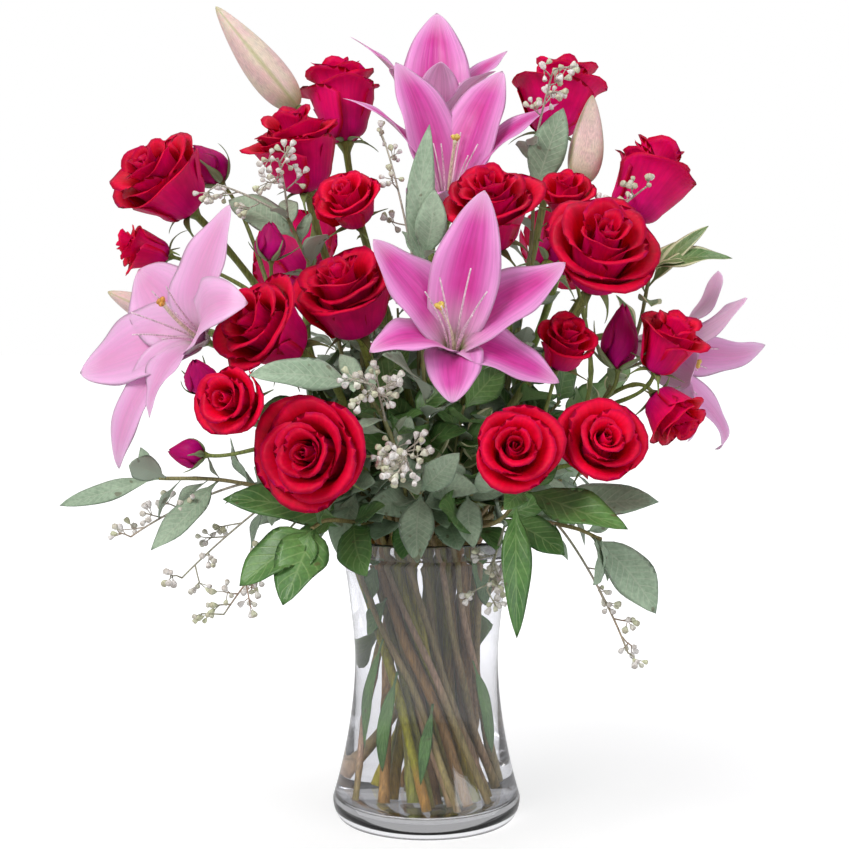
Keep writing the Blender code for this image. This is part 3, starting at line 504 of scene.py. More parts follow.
def petals(radius, height, count, openness, seed, fit, rows=15, columns=15):
    """Middle surfaces of a rose's petals, from the heart (order 0) to the outermost (order 1). A petal is a strip
    of wall: it leaves the hip on a quarter circle out to its shell radius, then rises along a line whose lean
    from upright goes from the petal's tilt to its tilt plus its roll over the last quarter of its length. Across,
    it wraps its shell by an angle of width over shell, on a slight spiral, so that one edge tucks in and the
    other laps out. The top is cut to a broad arch with a small point, and the margin ripples."""
    dice = np.random.default_rng(seed)
    order = np.linspace(0, 1, count)
    k, u, v = np.meshgrid(np.arange(count), np.linspace(0, 1, rows), np.linspace(-1, 1, columns), indexing="ij")
    s = order[k]

    def each(low, high):
        return dice.uniform(low, high, count)[k]

    phase, wave = each(0, math.tau), each(0, math.tau)
    shell = radius * (0.07 + 0.50 * s**1.10)
    half_width = radius * (0.46 + 0.42 * s) * each(0.92, 1.08)
    wrap = np.minimum(half_width / shell, 2.3)
    claw = 0.34 + 0.66 * np.sin(math.pi / 2 * np.clip(u / 0.50, 0, 1))
    azimuth = k * math.radians(137.5) + np.radians(each(-9, 9)) + v * wrap * claw
    point = 0.055 * np.exp(-((v / 0.20) ** 2)) * smooth((s - 0.25) / 0.3)
    reach = u * (1 - (0.16 + 0.12 * s) * np.abs(v) ** 2.4 + point)
    bowl_turn = math.pi / 2 * np.clip(reach / 0.40, 0, 1)
    spread = (1 + (0.20 - 0.10 * s) * v) * shell
    hip = radius * 0.10
    low = 0.24 * height
    top = height * (0.80 + 0.17 * np.sin(math.pi * np.clip(s * 1.15, 0, 1)) - 0.04 * s) * each(0.94, 1.04)
    rise = np.clip((reach - 0.40) / 0.60, 0, None)
    wall = (top - low) * 1.10
    tilt = -7 + (15 + 28 * openness * smooth((s - 0.35) / 0.65)) * s**1.4 + each(-3.5, 4.5) * (0.4 + s)
    roll = (6 + 92 * smooth((s - 0.10) / 0.75)) * (0.62 + 0.5 * np.sin(math.pi * np.clip(np.abs(v) * 1.1, 0, 1)) ** 2)
    roll = roll * each(0.80, 1.25)
    fine = np.linspace(0, 1.06, 40)
    start = 0.62 - 0.06 * openness
    out, up = np.zeros_like(rise), np.zeros_like(rise)
    for near, far in zip(fine[:-1], fine[1:]):
        middle = (near + far) / 2
        lean = np.radians(tilt + roll * np.clip((middle - start) / (1 - start), 0, None) ** 1.7)
        step = np.clip(np.minimum(rise, far) - near, 0, None) * wall
        out += step * np.sin(lean)
        up += step * np.cos(lean)
    curl = radius * 0.11 * smooth((s - 0.45) / 0.4) * np.abs(v) ** 4 * u**1.5
    ripple = radius * 0.016 * np.sin(5 * v + phase) * u**3 + radius * 0.010 * np.sin(9 * v + wave) * u**5
    dent = radius * 0.020 * np.sin(2.3 * v + wave + 3 * u) * np.sin(math.pi * u)
    across = hip + (spread - hip) * np.sin(bowl_turn) + out + curl + ripple + dent
    across = np.maximum(across, radius * 0.012)
    rough_height = low * (1 - np.cos(bowl_turn)) + up + radius * 0.012 * np.sin(6 * v + wave) * u**4
    scale = radius * fit / across.max()
    scale = 1 + (scale - 1) * smooth(across / across.max() * 1.2)
    stretch = height / rough_height.max()
    return np.stack(
        (across * scale * np.cos(azimuth), across * scale * np.sin(azimuth), rough_height * stretch), axis=-1
    ), order


def sepals(radius, length, count, lean, seed):
    """Middle surfaces of sepals: lance-shaped strips that leave the hip outward and curl down, each to its own
    angle; the lean from upright grows evenly along the length."""
    dice = np.random.default_rng(seed)
    k, u, v = np.meshgrid(np.arange(count), np.linspace(0, 1, 12), np.linspace(-1, 1, 5), indexing="ij")
    azimuth = math.tau * k / count + dice.uniform(-0.2, 0.2, count)[k]
    last = np.radians(dice.uniform(lean - 35, lean + 35, count))[k]
    reach = length * dice.uniform(0.8, 1.15, count)[k]
    angle = math.radians(70) + (last - math.radians(70)) * u
    bent = (last - math.radians(70)) + 1e-3
    out = radius * 0.16 + reach * (math.cos(math.radians(70)) - np.cos(angle)) / bent
    up = reach * (np.sin(angle) - math.sin(math.radians(70))) / bent
    half = length * 0.105 * (1 - u) ** 0.8 * (0.55 + 0.8 * np.sin(math.pi * np.clip(u * 1.6, 0, 1))) + 0.0003
    aside = dice.uniform(-0.25, 0.25, count)[k] * reach * u**2
    across = v * half + aside
    up = up + np.abs(v) * half * 0.35
    return np.stack(
        (out * np.cos(azimuth) - across * np.sin(azimuth), out * np.sin(azimuth) + across * np.cos(azimuth), up),
        axis=-1,
    )


def petal_lines_group():
    """Fine veins that fan from a petal's foot: noise drawn out along the length and squeezed across it, by the
    sheet attribute. Puts out the veins, the share along, the distance from the midline, back (1) or front (0),
    and the petal's order."""
    group = bpy.data.node_groups.new("fanned veins", "ShaderNodeTree")
    group.interface.new_socket("Lines Across", in_out="INPUT", socket_type="NodeSocketFloat")
    for name in ("Veins", "Along", "Aside", "Back", "Order"):
        group.interface.new_socket(name, in_out="OUTPUT", socket_type="NodeSocketFloat")
    inlet = group.nodes.new("NodeGroupInput")
    outlet = group.nodes.new("NodeGroupOutput")
    place = add_node(group, "ShaderNodeAttribute", attribute_name="sheet")
    parts = add_node(group, "ShaderNodeSeparateXYZ", {0: place.outputs["Vector"]})
    along, across, coded = parts.outputs
    back = add_node(group, "ShaderNodeMapRange", {"Value": coded, "From Min": 2.0, "From Max": 9.0})
    order = add_node(
        group, "ShaderNodeMath", {0: back.outputs["Result"], 1: -10.0, 2: coded}, operation="MULTIPLY_ADD"
    )
    aside = add_node(group, "ShaderNodeMath", {0: across}, operation="ABSOLUTE")
    fan = add_node(group, "ShaderNodeMath", {0: across, 1: inlet.outputs["Lines Across"]}, operation="MULTIPLY")
    drawn = add_node(group, "ShaderNodeMath", {0: along, 1: 2.2}, operation="MULTIPLY")
    spot = add_node(group, "ShaderNodeCombineXYZ", {0: fan.outputs[0], 1: drawn.outputs[0], 2: order.outputs[0]})
    veins = add_node(group, "ShaderNodeTexNoise", {"Vector": spot.outputs[0], "Scale": 1.0, "Detail": 2.0})
    for name, socket in (
        ("Veins", veins.outputs["Fac"]),
        ("Along", along),
        ("Aside", aside.outputs[0]),
        ("Back", back.outputs["Result"]),
        ("Order", order.outputs[0]),
    ):
        group.links.new(socket, outlet.inputs[name])
    return group


fanned_veins = petal_lines_group()


def velvet(name, heart, face, margin, reverse, foot):
    """A petal's finish. The face goes from the heart's colour to the open petals' one, and to the margin's in its
    last part; the reverse has its own colour that deepens to the foot's. Veins darken and raise both a little,
    and a soft sheen stands for the nap."""
    material, tree, shader = finish_named(
        name,
        face,
        0.50,
        Subsurface_Weight=0.20,
        Subsurface_Radius=(1.0, 0.10, 0.14),
        Subsurface_Scale=0.0035,
        Sheen_Weight=0.08,
        Sheen_Roughness=0.35,
        Sheen_Tint=(1.0, 0.06, 0.20, 1.0),
        Specular_IOR_Level=0.14,
    )
    lines = add_node(tree, "ShaderNodeGroup", node_tree=fanned_veins)
    lines.inputs["Lines Across"].default_value = 15.0
    veins, along, aside, back, order = lines.outputs
    front = mixed(tree, spread_out(tree, order, 0.05, 0.45), heart, face)
    front = mixed(tree, spread_out(tree, along, 0.72, 1.0, 0.0, 0.75), front, margin)
    behind = mixed(tree, spread_out(tree, along, 0.15, 0.75), foot, reverse)
    skin = mixed(tree, back, front, behind)
    here = add_node(tree, "ShaderNodeTexCoord").outputs["Object"]
    cloud = add_node(tree, "ShaderNodeTexNoise", {"Vector": here, "Scale": 55.0, "Detail": 3.0}).outputs["Fac"]
    skin = mixed(tree, 1.0, skin, spread_out(tree, cloud, 0.3, 0.7, 0.80, 1.16), "MULTIPLY")
    skin = mixed(tree, 1.0, skin, spread_out(tree, veins, 0.30, 0.70, 0.90, 1.06), "MULTIPLY")
    tree.links.new(skin, shader.inputs["Base Color"])
    raised = add_node(tree, "ShaderNodeBump", {"Height": veins, "Strength": 0.28, "Distance": 0.0009})
    nap = add_node(tree, "ShaderNodeTexNoise", {"Vector": here, "Scale": 1400.0, "Detail": 1.0}).outputs["Fac"]
    nap = add_node(
        tree,
        "ShaderNodeBump",
        {"Height": nap, "Strength": 0.12, "Distance": 0.0002, "Normal": raised.outputs["Normal"]},
    )
    tree.links.new(nap.outputs["Normal"], shader.inputs["Normal"])
    tree.links.new(spread_out(tree, cloud, 0.3, 0.7, 0.46, 0.60), shader.inputs["Roughness"])
    return material


def leafy(name, dark, light, reverse, roughness, lines):
    """A thin green part's finish: two greens mixed by noise, a paler reverse, and lengthwise lines."""
    material, tree, shader = finish_named(name, dark, roughness, Subsurface_Weight=0.0)
    sheet = add_node(tree, "ShaderNodeGroup", node_tree=fanned_veins)
    sheet.inputs["Lines Across"].default_value = lines
    veins, along, aside, back, order = sheet.outputs
    here = add_node(tree, "ShaderNodeTexCoord").outputs["Object"]
    cloud = add_node(tree, "ShaderNodeTexNoise", {"Vector": here, "Scale": 60.0, "Detail": 3.0}).outputs["Fac"]
    skin = mixed(tree, spread_out(tree, cloud, 0.35, 0.65), dark, light)
    skin = mixed(tree, back, skin, reverse)
    skin = mixed(tree, 1.0, skin, spread_out(tree, veins, 0.3, 0.7, 0.78, 1.15), "MULTIPLY")
    tree.links.new(skin, shader.inputs["Base Color"])
    raised = add_node(tree, "ShaderNodeBump", {"Height": veins, "Strength": 0.3, "Distance": 0.0005})
    tree.links.new(raised.outputs["Normal"], shader.inputs["Normal"])
    return material


rose_velvet = velvet(
    "red rose petal", (0.36, 0.0, 0.005), (0.68, 0.0, 0.014), (0.70, 0.0, 0.050), (0.74, 0.0, 0.12), (0.68, 0.0, 0.17)
)
sepal_green = leafy("sepal", (0.13, 0.20, 0.05), (0.22, 0.30, 0.10), (0.30, 0.38, 0.20), 0.5, 7.0)

for number, (centre, facing, radius, height, openness) in enumerate(ROSES, 1):
    neck, facing = rose_necks[number - 1]
    middle, order = petals(radius, height, 20, openness, 40 + number, 1.22)
    middle = standing(middle, neck, facing, turn=number * 1.9)
    new_piece(
        f"rose_petals_{number:02d}",
        closed_sheets(middle, 0.00055, order),
        rose_velvet,
        [f"rose_{number:02d}_bloom"],
    )
    green = standing(sepals(radius, 0.026, 5, 150, number), neck - facing * 0.0006, facing)
    new_piece(f"rose_sepals_{number:02d}", closed_sheets(green, 0.0007), sepal_green, ())


# ---------------------------------------------------------------- 5. spray roses
# Six branching stems of small garden-type roses. One stem forks into arms, each with a half-open bloom or a shut
# bud that its green calyx still clasps; the petals are a deeper magenta than the big roses'.

# Each spray: the fork, its blooms (centre, facing, radius, height, openness), its buds (neck, facing, radius,
# length).
SPRAYS = (
    (
        (-0.100, -0.012, 0.352),
        (((-0.196, -0.022, 0.404), (-0.90, -0.25, 0.25), 0.0180, 0.038, 0.4),),
        (
            ((-0.146, 0.024, 0.452), (-0.60, 0.05, 0.75), 0.0140, 0.034),
            ((-0.104, -0.056, 0.396), (0.00, -0.10, 1.0), 0.0110, 0.026),
        ),
    ),
    (
        (-0.072, -0.082, 0.276),
        (((-0.121, -0.146, 0.307), (-0.40, -0.90, 0.15), 0.0220, 0.036, 0.5),),
        (
            ((-0.142, -0.116, 0.312), (-0.20, -0.55, 0.80), 0.0110, 0.025),
            ((-0.146, -0.092, 0.268), (-0.98, 0.0, 0.10), 0.0100, 0.024),
        ),
    ),
    (
        (0.060, -0.078, 0.250),
        (
            ((0.054, -0.165, 0.278), (0.00, -0.93, 0.36), 0.0270, 0.038, 0.9),
            ((0.110, -0.146, 0.281), (0.15, -0.88, 0.42), 0.0265, 0.038, 0.8),
            ((0.090, -0.098, 0.341), (0.20, -0.60, 0.78), 0.0195, 0.036, 0.3),
        ),
        (),
    ),
    (
        (0.104, -0.046, 0.288),
        (
            ((0.157, -0.100, 0.342), (0.35, -0.35, 0.87), 0.0215, 0.044, 0.3),
            ((0.162, -0.090, 0.294), (0.60, -0.45, -0.66), 0.0205, 0.038, 0.3),
            ((0.094, -0.038, 0.441), (-0.05, -0.55, 0.83), 0.0190, 0.034, 0.7),
        ),
        (((0.127, -0.072, 0.324), (0.08, -0.05, 1.0), 0.0130, 0.044),),
    ),
    ((-0.030, -0.036, 0.362), (((-0.052, -0.058, 0.434), (-0.30, -0.65, 0.70), 0.0235, 0.036, 0.6),), ()),
    (
        (0.012, 0.084, 0.300),
        (((0.030, 0.150, 0.330), (0.15, 0.93, 0.30), 0.0250, 0.038, 0.7),),
        (((-0.040, 0.122, 0.318), (-0.45, 0.70, 0.50), 0.0120, 0.030),),
    ),
)
SPRAY_STEM_RADIUS, SPRAY_ARM_RADIUS = 0.0025, 0.0015


def forked(node, fork, ends, radius, arm_radius, number):
    """A stem to its fork and an arm to each end (neck, facing, neck radius): cubics that leave the straight run,
    or the fork, along its direction and arrive along the flower's facing."""
    foot, rim = straight_run(node)
    fork = np.array(fork)
    chord = np.linalg.norm(fork - rim)
    shares = np.linspace(0, 1, 24)
    rise = hermite(rim, unit(rim - foot) * chord, fork, unit(fork - rim) * chord, shares)
    trunk = np.vstack((foot + (rim - foot) * np.linspace(0, 1, 24)[:-1, None], rise))
    shapes = [swept(trunk, grown_radii(trunk, radius, arm_radius * 1.35, 0.055, number * 0.41), number=number)]
    upward = unit(trunk[-1] - trunk[-2])
    for place, (neck, facing, neck_radius) in enumerate(ends):
        neck, facing = np.asarray(neck), unit(facing)
        start = fork - upward * (0.003 + 0.002 * place)
        chord = np.linalg.norm(neck - start)
        arm = hermite(start, upward * chord * 0.9, neck - facing * 0.005, facing * chord * 0.8, shares)
        arm = np.vstack((arm, neck - facing * np.linspace(0.0035, 0, 4)[:, None]))
        radii = grown_radii(arm, arm_radius * 1.1, arm_radius * 0.85, 0.045, place * 0.3, 0.3)
        radii[-4:] = np.linspace(arm_radius, neck_radius, 4)
        shapes.append(swept(arm, radii, 10, number=number + place * 0.3))
    return shapes


def bud_petals(radius, length, count, seed):
    """Middle surfaces of a shut bud's petals: each wraps well over half the bud on a slight spiral, so that its
    free edge laps the next; the radius follows a sine of the share along, fullest below the middle, and the tips
    close to a short open point."""
    dice = np.random.default_rng(seed)
    k, u, v = np.meshgrid(np.arange(count), np.linspace(0, 1, 14), np.linspace(-1, 1, 15), indexing="ij")
    s = k / max(count - 1, 1)
    wrap = math.radians(100) + 0 * s
    azimuth = math.tau * k * 0.382 + v * wrap * (0.5 + 0.5 * np.sin(math.pi * np.clip(u * 1.1, 0, 1))) + 0.9 * u
    belly = np.sin(math.pi * np.clip(u * 0.93 + 0.045, 0, 1) ** 0.78) ** 0.85
    reach = u * (1 - 0.10 * np.abs(v) ** 2.2)
    across = radius * belly * (0.74 + 0.20 * s) * (1 + 0.13 * v)
    across += radius * 0.16 * smooth((u - 0.78) / 0.22) * s * dice.uniform(0.5, 1.3, count)[k]
    up = length * (reach * (1.0 - 0.06 * s)) - 0.0005
    return np.stack((across * np.cos(azimuth), across * np.sin(azimuth), up), axis=-1), s[:, 0, 0]


spray_velvet = velvet(
    "spray rose petal",
    (0.52, 0.0, 0.012),
    (0.82, 0.0, 0.018),
    (0.80, 0.0, 0.055),
    (0.74, 0.0, 0.095),
    (0.60, 0.0, 0.16),
)
bud_velvet = velvet(
    "dark rose bud", (0.30, 0.0, 0.05), (0.42, 0.0, 0.08), (0.36, 0.0, 0.09), (0.42, 0.0, 0.115), (0.55, 0.0, 0.20)
)
spray_bark = bark("spray rose stem", (0.28, 0.27, 0.05), (0.18, 0.19, 0.03), (0.34, 0.16, 0.06), 0.45, FRESH_GREEN)

for number, (fork, blooms, buds) in enumerate(SPRAYS, 1):
    ends, flowers, greens, shut = [], [], [], []
    for place, (centre, facing, radius, height, openness) in enumerate(blooms):
        facing = unit(facing)
        neck = np.asarray(centre) - facing * (height / 2 + GAP)
        ends.append((neck, facing, 0.0040))
        middle, order = petals(radius, height, 15, openness, 90 + 7 * number + place, 1.20, 14, 13)
        flowers.append(closed_sheets(standing(middle, neck, facing, number + place * 2.1), 0.0005, order))
        green = standing(sepals(radius, 0.021, 5, 125, 60 + number + place), neck - facing * 0.0005, facing)
        greens.append(closed_sheets(green, 0.0006))
    for place, (neck, facing, radius, length) in enumerate(buds):
        facing = unit(facing)
        ends.append((neck, facing, 0.0032))
        middle, order = bud_petals(radius, length, 6, number * 5 + place)
        shut.append(closed_sheets(standing(middle, neck, facing, place * 1.3), 0.0005, order))
        clasp = sepals(radius * 1.9, length * 0.78, 5, 18, 70 + number + place)
        greens.append(closed_sheets(standing(clasp, np.asarray(neck) - facing * 0.0012, facing), 0.0007))
    stem = forked(f"spray_rose_{number}_stem", fork, ends, SPRAY_STEM_RADIUS, SPRAY_ARM_RADIUS, number + 20)
    new_piece(
        f"spray_stem_{number}", together(stem), spray_bark, [f"spray_rose_{number}_stem"]
    )
    nodes = [f"spray_rose_{number}_bloom_{letter}" for letter, bloom in zip("abc", blooms)]
    new_piece(f"spray_petals_{number}", together(flowers), spray_velvet, nodes)
    new_piece(f"spray_sepals_{number}", together(greens), sepal_green, ())
    if shut:
        new_piece(f"spray_buds_{number}", together(shut), bud_velvet, ())


# ---------------------------------------------------------------- 6. lilies
# Oriental lilies of a mid pink, their anthers picked off as florists do. Six waxy tepals leave a narrow green
# throat and curl back at the tip; a pale style with a yellow stigma and bare filaments stand in the middle.

# Each lily: base, facing, and six tepals. A tepal is its bearing in degrees, how far out and up its tip is, the
# lean of its tip from upright in degrees, its width, and its twist in degrees. Lengths are in millimetres.
LILIES = (
    (
        (0.017, -0.122, 0.336),
        (0.02, -0.70, 0.71),
        (
            (-17, 64, 82, 50, 36, 0),
            (-64, 78, 46, 60, 40, -14),
            (-116, 72, 6, 100, 29, -6),
            (177, 52, 10, 128, 30, 0),
            (118, 60, 30, 118, 28, 12),
            (50, 66, 58, 56, 36, 12),
        ),
    ),
    (
        (0.014, 0.003, 0.425),
        (0.05, -0.32, 0.94),
        (
            (34, 60, 99, 58, 41, 0),
            (-42, 63, 95, 58, 39, 0),
            (-80, 78, 80, 70, 32, -8),
            (-142, 74, 28, 118, 28, 0),
            (76, 76, 80, 84, 20, 10),
            (148, 64, 26, 118, 26, 0),
        ),
    ),
    (
        (-0.148, -0.062, 0.342),
        (-0.50, -0.76, 0.34),
        (
            (-18, 86, 36, 88, 36, -10),
            (52, 70, 20, 100, 44, 0),
            (112, 88, 24, 86, 44, 6),
            (176, 64, 30, 116, 28, 40),
            (152, 104, 0, 142, 22, -14),
            (-82, 70, 46, 140, 38, -12),
        ),
    ),
    (
        (0.142, -0.010, 0.340),
        (0.86, -0.28, -0.34),
        (
            (22, 62, 68, 60, 46, 12),
            (-52, 46, 84, 70, 30, 0),
            (-146, 64, 78, 135, 18, 0),
            (92, 52, 56, 90, 30, 0),
            (150, 54, 66, 110, 28, 0),
            (-20, 70, 36, 105, 34, 50),
        ),
    ),
    (
        (0.007, 0.048, 0.472),
        (-0.02, 0.08, 1.00),
        (
            (160, 26, 110, 24, 42, 0),
            (-112, 62, 90, 62, 30, -8),
            (112, 68, 84, 60, 32, 8),
            (-6, 32, 62, 58, 30, 0),
            (58, 46, 58, 80, 27, 0),
            (-58, 46, 58, 80, 27, 0),
        ),
    ),
)
# Each lily stem: its fork, the lilies it carries by number, and its buds (neck, facing, radius, length).
LILY_STEMS = (
    ((-0.004, -0.040, 0.300), (0, 1, 4), ()),
    (
        (-0.078, 0.006, 0.318),
        (2,),
        (
            ((-0.092, 0.030, 0.505), (-0.66, 0.00, 0.75), 0.0155, 0.092),
            ((-0.172, 0.000, 0.352), (-0.93, -0.05, 0.36), 0.0120, 0.056),
        ),
    ),
    ((0.053, 0.029, 0.280), (3,), (((0.106, -0.010, 0.448), (0.17, 0.02, 0.98), 0.0135, 0.062),)),
)
LILY_STEM_RADIUS, LILY_ARM_RADIUS = 0.0042, 0.0026
THROAT_RADIUS = 0.0045


def tepals(rows_of_numbers, seed):
    """Middle surfaces of a lily's tepals. The midline is a cubic in the plane of its bearing, from the throat's
    edge, leaving 8 degrees off upright, to the tip at its lean. Half the width is 0.62 of the given one times
    sin(pi share^0.84)^0.72, never less than keeps the throat shut. Across, the strip is cupped by the square of
    the share aside, deepest at the throat, its midrib is pressed in, its margins wave, and it twists evenly."""
    numbers = np.array(rows_of_numbers, float)
    bearing, lean, twist = (np.radians(numbers[:, column])[:, None, None] for column in (0, 3, 5))
    out_tip, up_tip, width = (numbers[:, column, None, None] / 1000 for column in (1, 2, 4))
    dice = np.random.default_rng(seed)
    phase = dice.uniform(0, math.tau, len(numbers))[:, None, None]
    u = np.linspace(0, 1, 34)[None, :, None]
    v = np.linspace(-1, 1, 15)[None, None]
    length = np.hypot(out_tip - THROAT_RADIUS, up_tip)
    start_lean = math.radians(8)
    a, b = 2 * u**3 - 3 * u**2 + 1, u**3 - 2 * u**2 + u
    c, d = 3 * u**2 - 2 * u**3, u**3 - u**2
    out = a * THROAT_RADIUS + b * length * 1.15 * math.sin(start_lean) + c * out_tip + d * length * 1.0 * np.sin(lean)
    up = b * length * 1.15 * math.cos(start_lean) + c * up_tip + d * length * 1.0 * np.cos(lean)
    slope = np.stack((np.gradient(out, axis=1), np.gradient(up, axis=1)), axis=-1)
    slope /= np.linalg.norm(slope, axis=-1, keepdims=True)
    half = 0.62 * width * np.sin(math.pi * np.clip(u, 0, 1) ** 0.84) ** 0.72
    half = np.maximum(half, np.maximum(0.0036 * (1 - u / 0.12), 0.0) + 0.0004)
    cup = half * (0.62 * np.exp(-u / 0.22) + 0.20 * (1 - u)) * v**2
    crease = -0.0011 * np.exp(-((v / 0.13) ** 2)) * np.sin(math.pi * np.clip(u * 1.05, 0, 1))
    wave = 0.0017 * np.sin(math.tau * 2.6 * u + phase + 1.3 * np.sign(v)) * np.abs(v) ** 3 * np.sin(math.pi * u)
    turned_by = twist * u**1.5
    aside = v * half
    raised = cup + crease + wave
    across = aside * np.cos(turned_by) - raised * np.sin(turned_by)
    inward = aside * np.sin(turned_by) + raised * np.cos(turned_by)
    out = out - inward * slope[..., 1]
    up = up + inward * slope[..., 0]
    return np.stack(
        (out * np.cos(bearing) - across * np.sin(bearing), out * np.sin(bearing) + across * np.cos(bearing), up),
        axis=-1,
    )


def waxy_pink(name, paleness):
    """A tepal's finish: pale and a little green in the throat, a deep streak along the middle, lighter toward
    the margin and the tip, lined lengthwise; the reverse is paler, with a greenish rib. Low satin gloss."""
    material, tree, shader = finish_named(
        name,
        (0.62, 0.10, 0.42),
        0.42,
        Subsurface_Weight=0.22,
        Subsurface_Radius=(0.9, 0.35, 0.65),
        Subsurface_Scale=0.004,
        Sheen_Weight=0.12,
        Specular_IOR_Level=0.4,
    )
    lines = add_node(tree, "ShaderNodeGroup", node_tree=fanned_veins)
    lines.inputs["Lines Across"].default_value = 11.0
    veins, along, aside, back, order = lines.outputs
    here = add_node(tree, "ShaderNodeTexCoord").outputs["Object"]
    cloud = add_node(tree, "ShaderNodeTexNoise", {"Vector": here, "Scale": 38.0, "Detail": 3.0}).outputs["Fac"]
    front = mixed(tree, spread_out(tree, aside, 0.25, 1.0), (0.64, 0.08, 0.40), (0.79, 0.31, 0.65))
    streak = add_node(
        tree,
        "ShaderNodeMath",
        {0: spread_out(tree, aside, 0.05, 0.62, 1.0, 0.0), 1: spread_out(tree, along, 0.16, 0.42)},
        operation="MULTIPLY",
    ).outputs[0]
    streak = add_node(
        tree, "ShaderNodeMath", {0: streak, 1: spread_out(tree, cloud, 0.35, 0.65, 0.35, 1.0)}, operation="MULTIPLY"
    ).outputs[0]
    front = mixed(tree, streak, front, (0.58, 0.018, 0.27))
    front = mixed(tree, spread_out(tree, along, 0.76, 1.0, 0.0, 0.8), front, (0.80, 0.44, 0.70))
    pale = add_node(
        tree,
        "ShaderNodeMath",
        {0: spread_out(tree, along, 0.10, 0.40, 0.85, 0.0), 1: spread_out(tree, aside, 0.0, 0.9, 0.9, 0.5)},
        operation="MULTIPLY",
    ).outputs[0]
    front = mixed(tree, pale, front, (0.80, 0.58, 0.70))
    front = mixed(tree, spread_out(tree, along, 0.03, 0.15, 0.9, 0.0), front, (0.42, 0.46, 0.14))
    behind = mixed(tree, spread_out(tree, aside, 0.0, 0.8), (0.70, 0.34, 0.56), (0.80, 0.48, 0.71))
    behind = mixed(tree, spread_out(tree, along, 0.0, 0.35, 0.8, 0.0), behind, (0.62, 0.52, 0.42))
    skin = mixed(tree, back, front, behind)
    skin = mixed(tree, 1.0, skin, spread_out(tree, veins, 0.30, 0.70, 0.88, 1.10), "MULTIPLY")
    skin = mixed(tree, paleness, skin, (0.90, 0.60, 0.84))
    tree.links.new(skin, shader.inputs["Base Color"])
    raised = add_node(tree, "ShaderNodeBump", {"Height": veins, "Strength": 0.35, "Distance": 0.0010})
    tree.links.new(raised.outputs["Normal"], shader.inputs["Normal"])
    tree.links.new(spread_out(tree, cloud, 0.3, 0.7, 0.36, 0.52), shader.inputs["Roughness"])
    return material


def lobed_bud(radius, length, lobes=3):
    """A shut lily bud: rings whose radius is the bud's times a sine of the share along, fullest at four tenths,
    pressed in between its three ribs by a cosine of three times the bearing, closed by a pole at each end."""
    share = np.linspace(0.015, 0.99, 34)[:, None]
    angle = np.linspace(0, math.tau, 36, endpoint=False)[None]
    belly = np.sin(math.pi * share**0.72) ** 0.62 * (1 - 0.30 * share)
    ribbed = 1 + 0.10 * np.cos(lobes * angle + 0.5 * share) - 0.05 * np.abs(np.sin(1.5 * angle)) ** 0.4
    ring = radius * belly * ribbed
    bend = length * 0.05 * share**2
    rings = np.stack(np.broadcast_arrays(ring * np.cos(angle) + bend, ring * np.sin(angle), length * share), axis=-1)
    points = np.vstack(((0, 0, -0.0005), rings.reshape(-1, 3), (length * 0.05, 0, length)))
    seam = np.abs(np.sin(1.5 * angle)) + 0 * share
    sheet = np.stack(np.broadcast_arrays(share, 1 - seam, 0.0), axis=-1).reshape(-1, 3)
    return points, ringed_faces(len(rings), 36), np.vstack(((0, 0, 0), sheet, (1, 0, 0)))


def bud_skin():
    """A lily bud's finish: pinkish beige over pale green, greener at its foot and tip and along its seams, with
    fine lengthwise lines."""
    material, tree, shader = finish_named(
        "lily bud", (0.66, 0.50, 0.42), 0.45, Subsurface_Weight=0.15, Subsurface_Scale=0.004
    )
    place = add_node(tree, "ShaderNodeAttribute", attribute_name="sheet")
    along, seam, _ = add_node(tree, "ShaderNodeSeparateXYZ", {0: place.outputs["Vector"]}).outputs
    here = add_node(tree, "ShaderNodeTexCoord").outputs["Object"]
    cloud = add_node(tree, "ShaderNodeTexNoise", {"Vector": here, "Scale": 70.0, "Detail": 4.0}).outputs["Fac"]
    skin = mixed(tree, spread_out(tree, cloud, 0.35, 0.65), (0.76, 0.53, 0.51), (0.74, 0.62, 0.50))
    skin = mixed(tree, spread_out(tree, seam, 0.70, 1.0, 0.0, 0.7), skin, (0.36, 0.38, 0.16))
    skin = mixed(tree, spread_out(tree, along, 0.0, 0.22, 0.75, 0.0), skin, (0.40, 0.46, 0.20))
    skin = mixed(tree, spread_out(tree, along, 0.90, 1.0, 0.0, 0.6), skin, (0.46, 0.44, 0.20))
    lines = add_node(
        tree,
        "ShaderNodeTexNoise",
        {
            "Vector": add_node(tree, "ShaderNodeCombineXYZ", {0: along, 1: seam}).outputs[0],
            "Scale": 22.0,
            "Detail": 3.0,
        },
    ).outputs["Fac"]
    skin = mixed(tree, 1.0, skin, spread_out(tree, lines, 0.3, 0.7, 0.82, 1.12), "MULTIPLY")
    tree.links.new(skin, shader.inputs["Base Color"])
    raised = add_node(tree, "ShaderNodeBump", {"Height": lines, "Strength": 0.3, "Distance": 0.0006})
    tree.links.new(raised.outputs["Normal"], shader.inputs["Normal"])
    return material


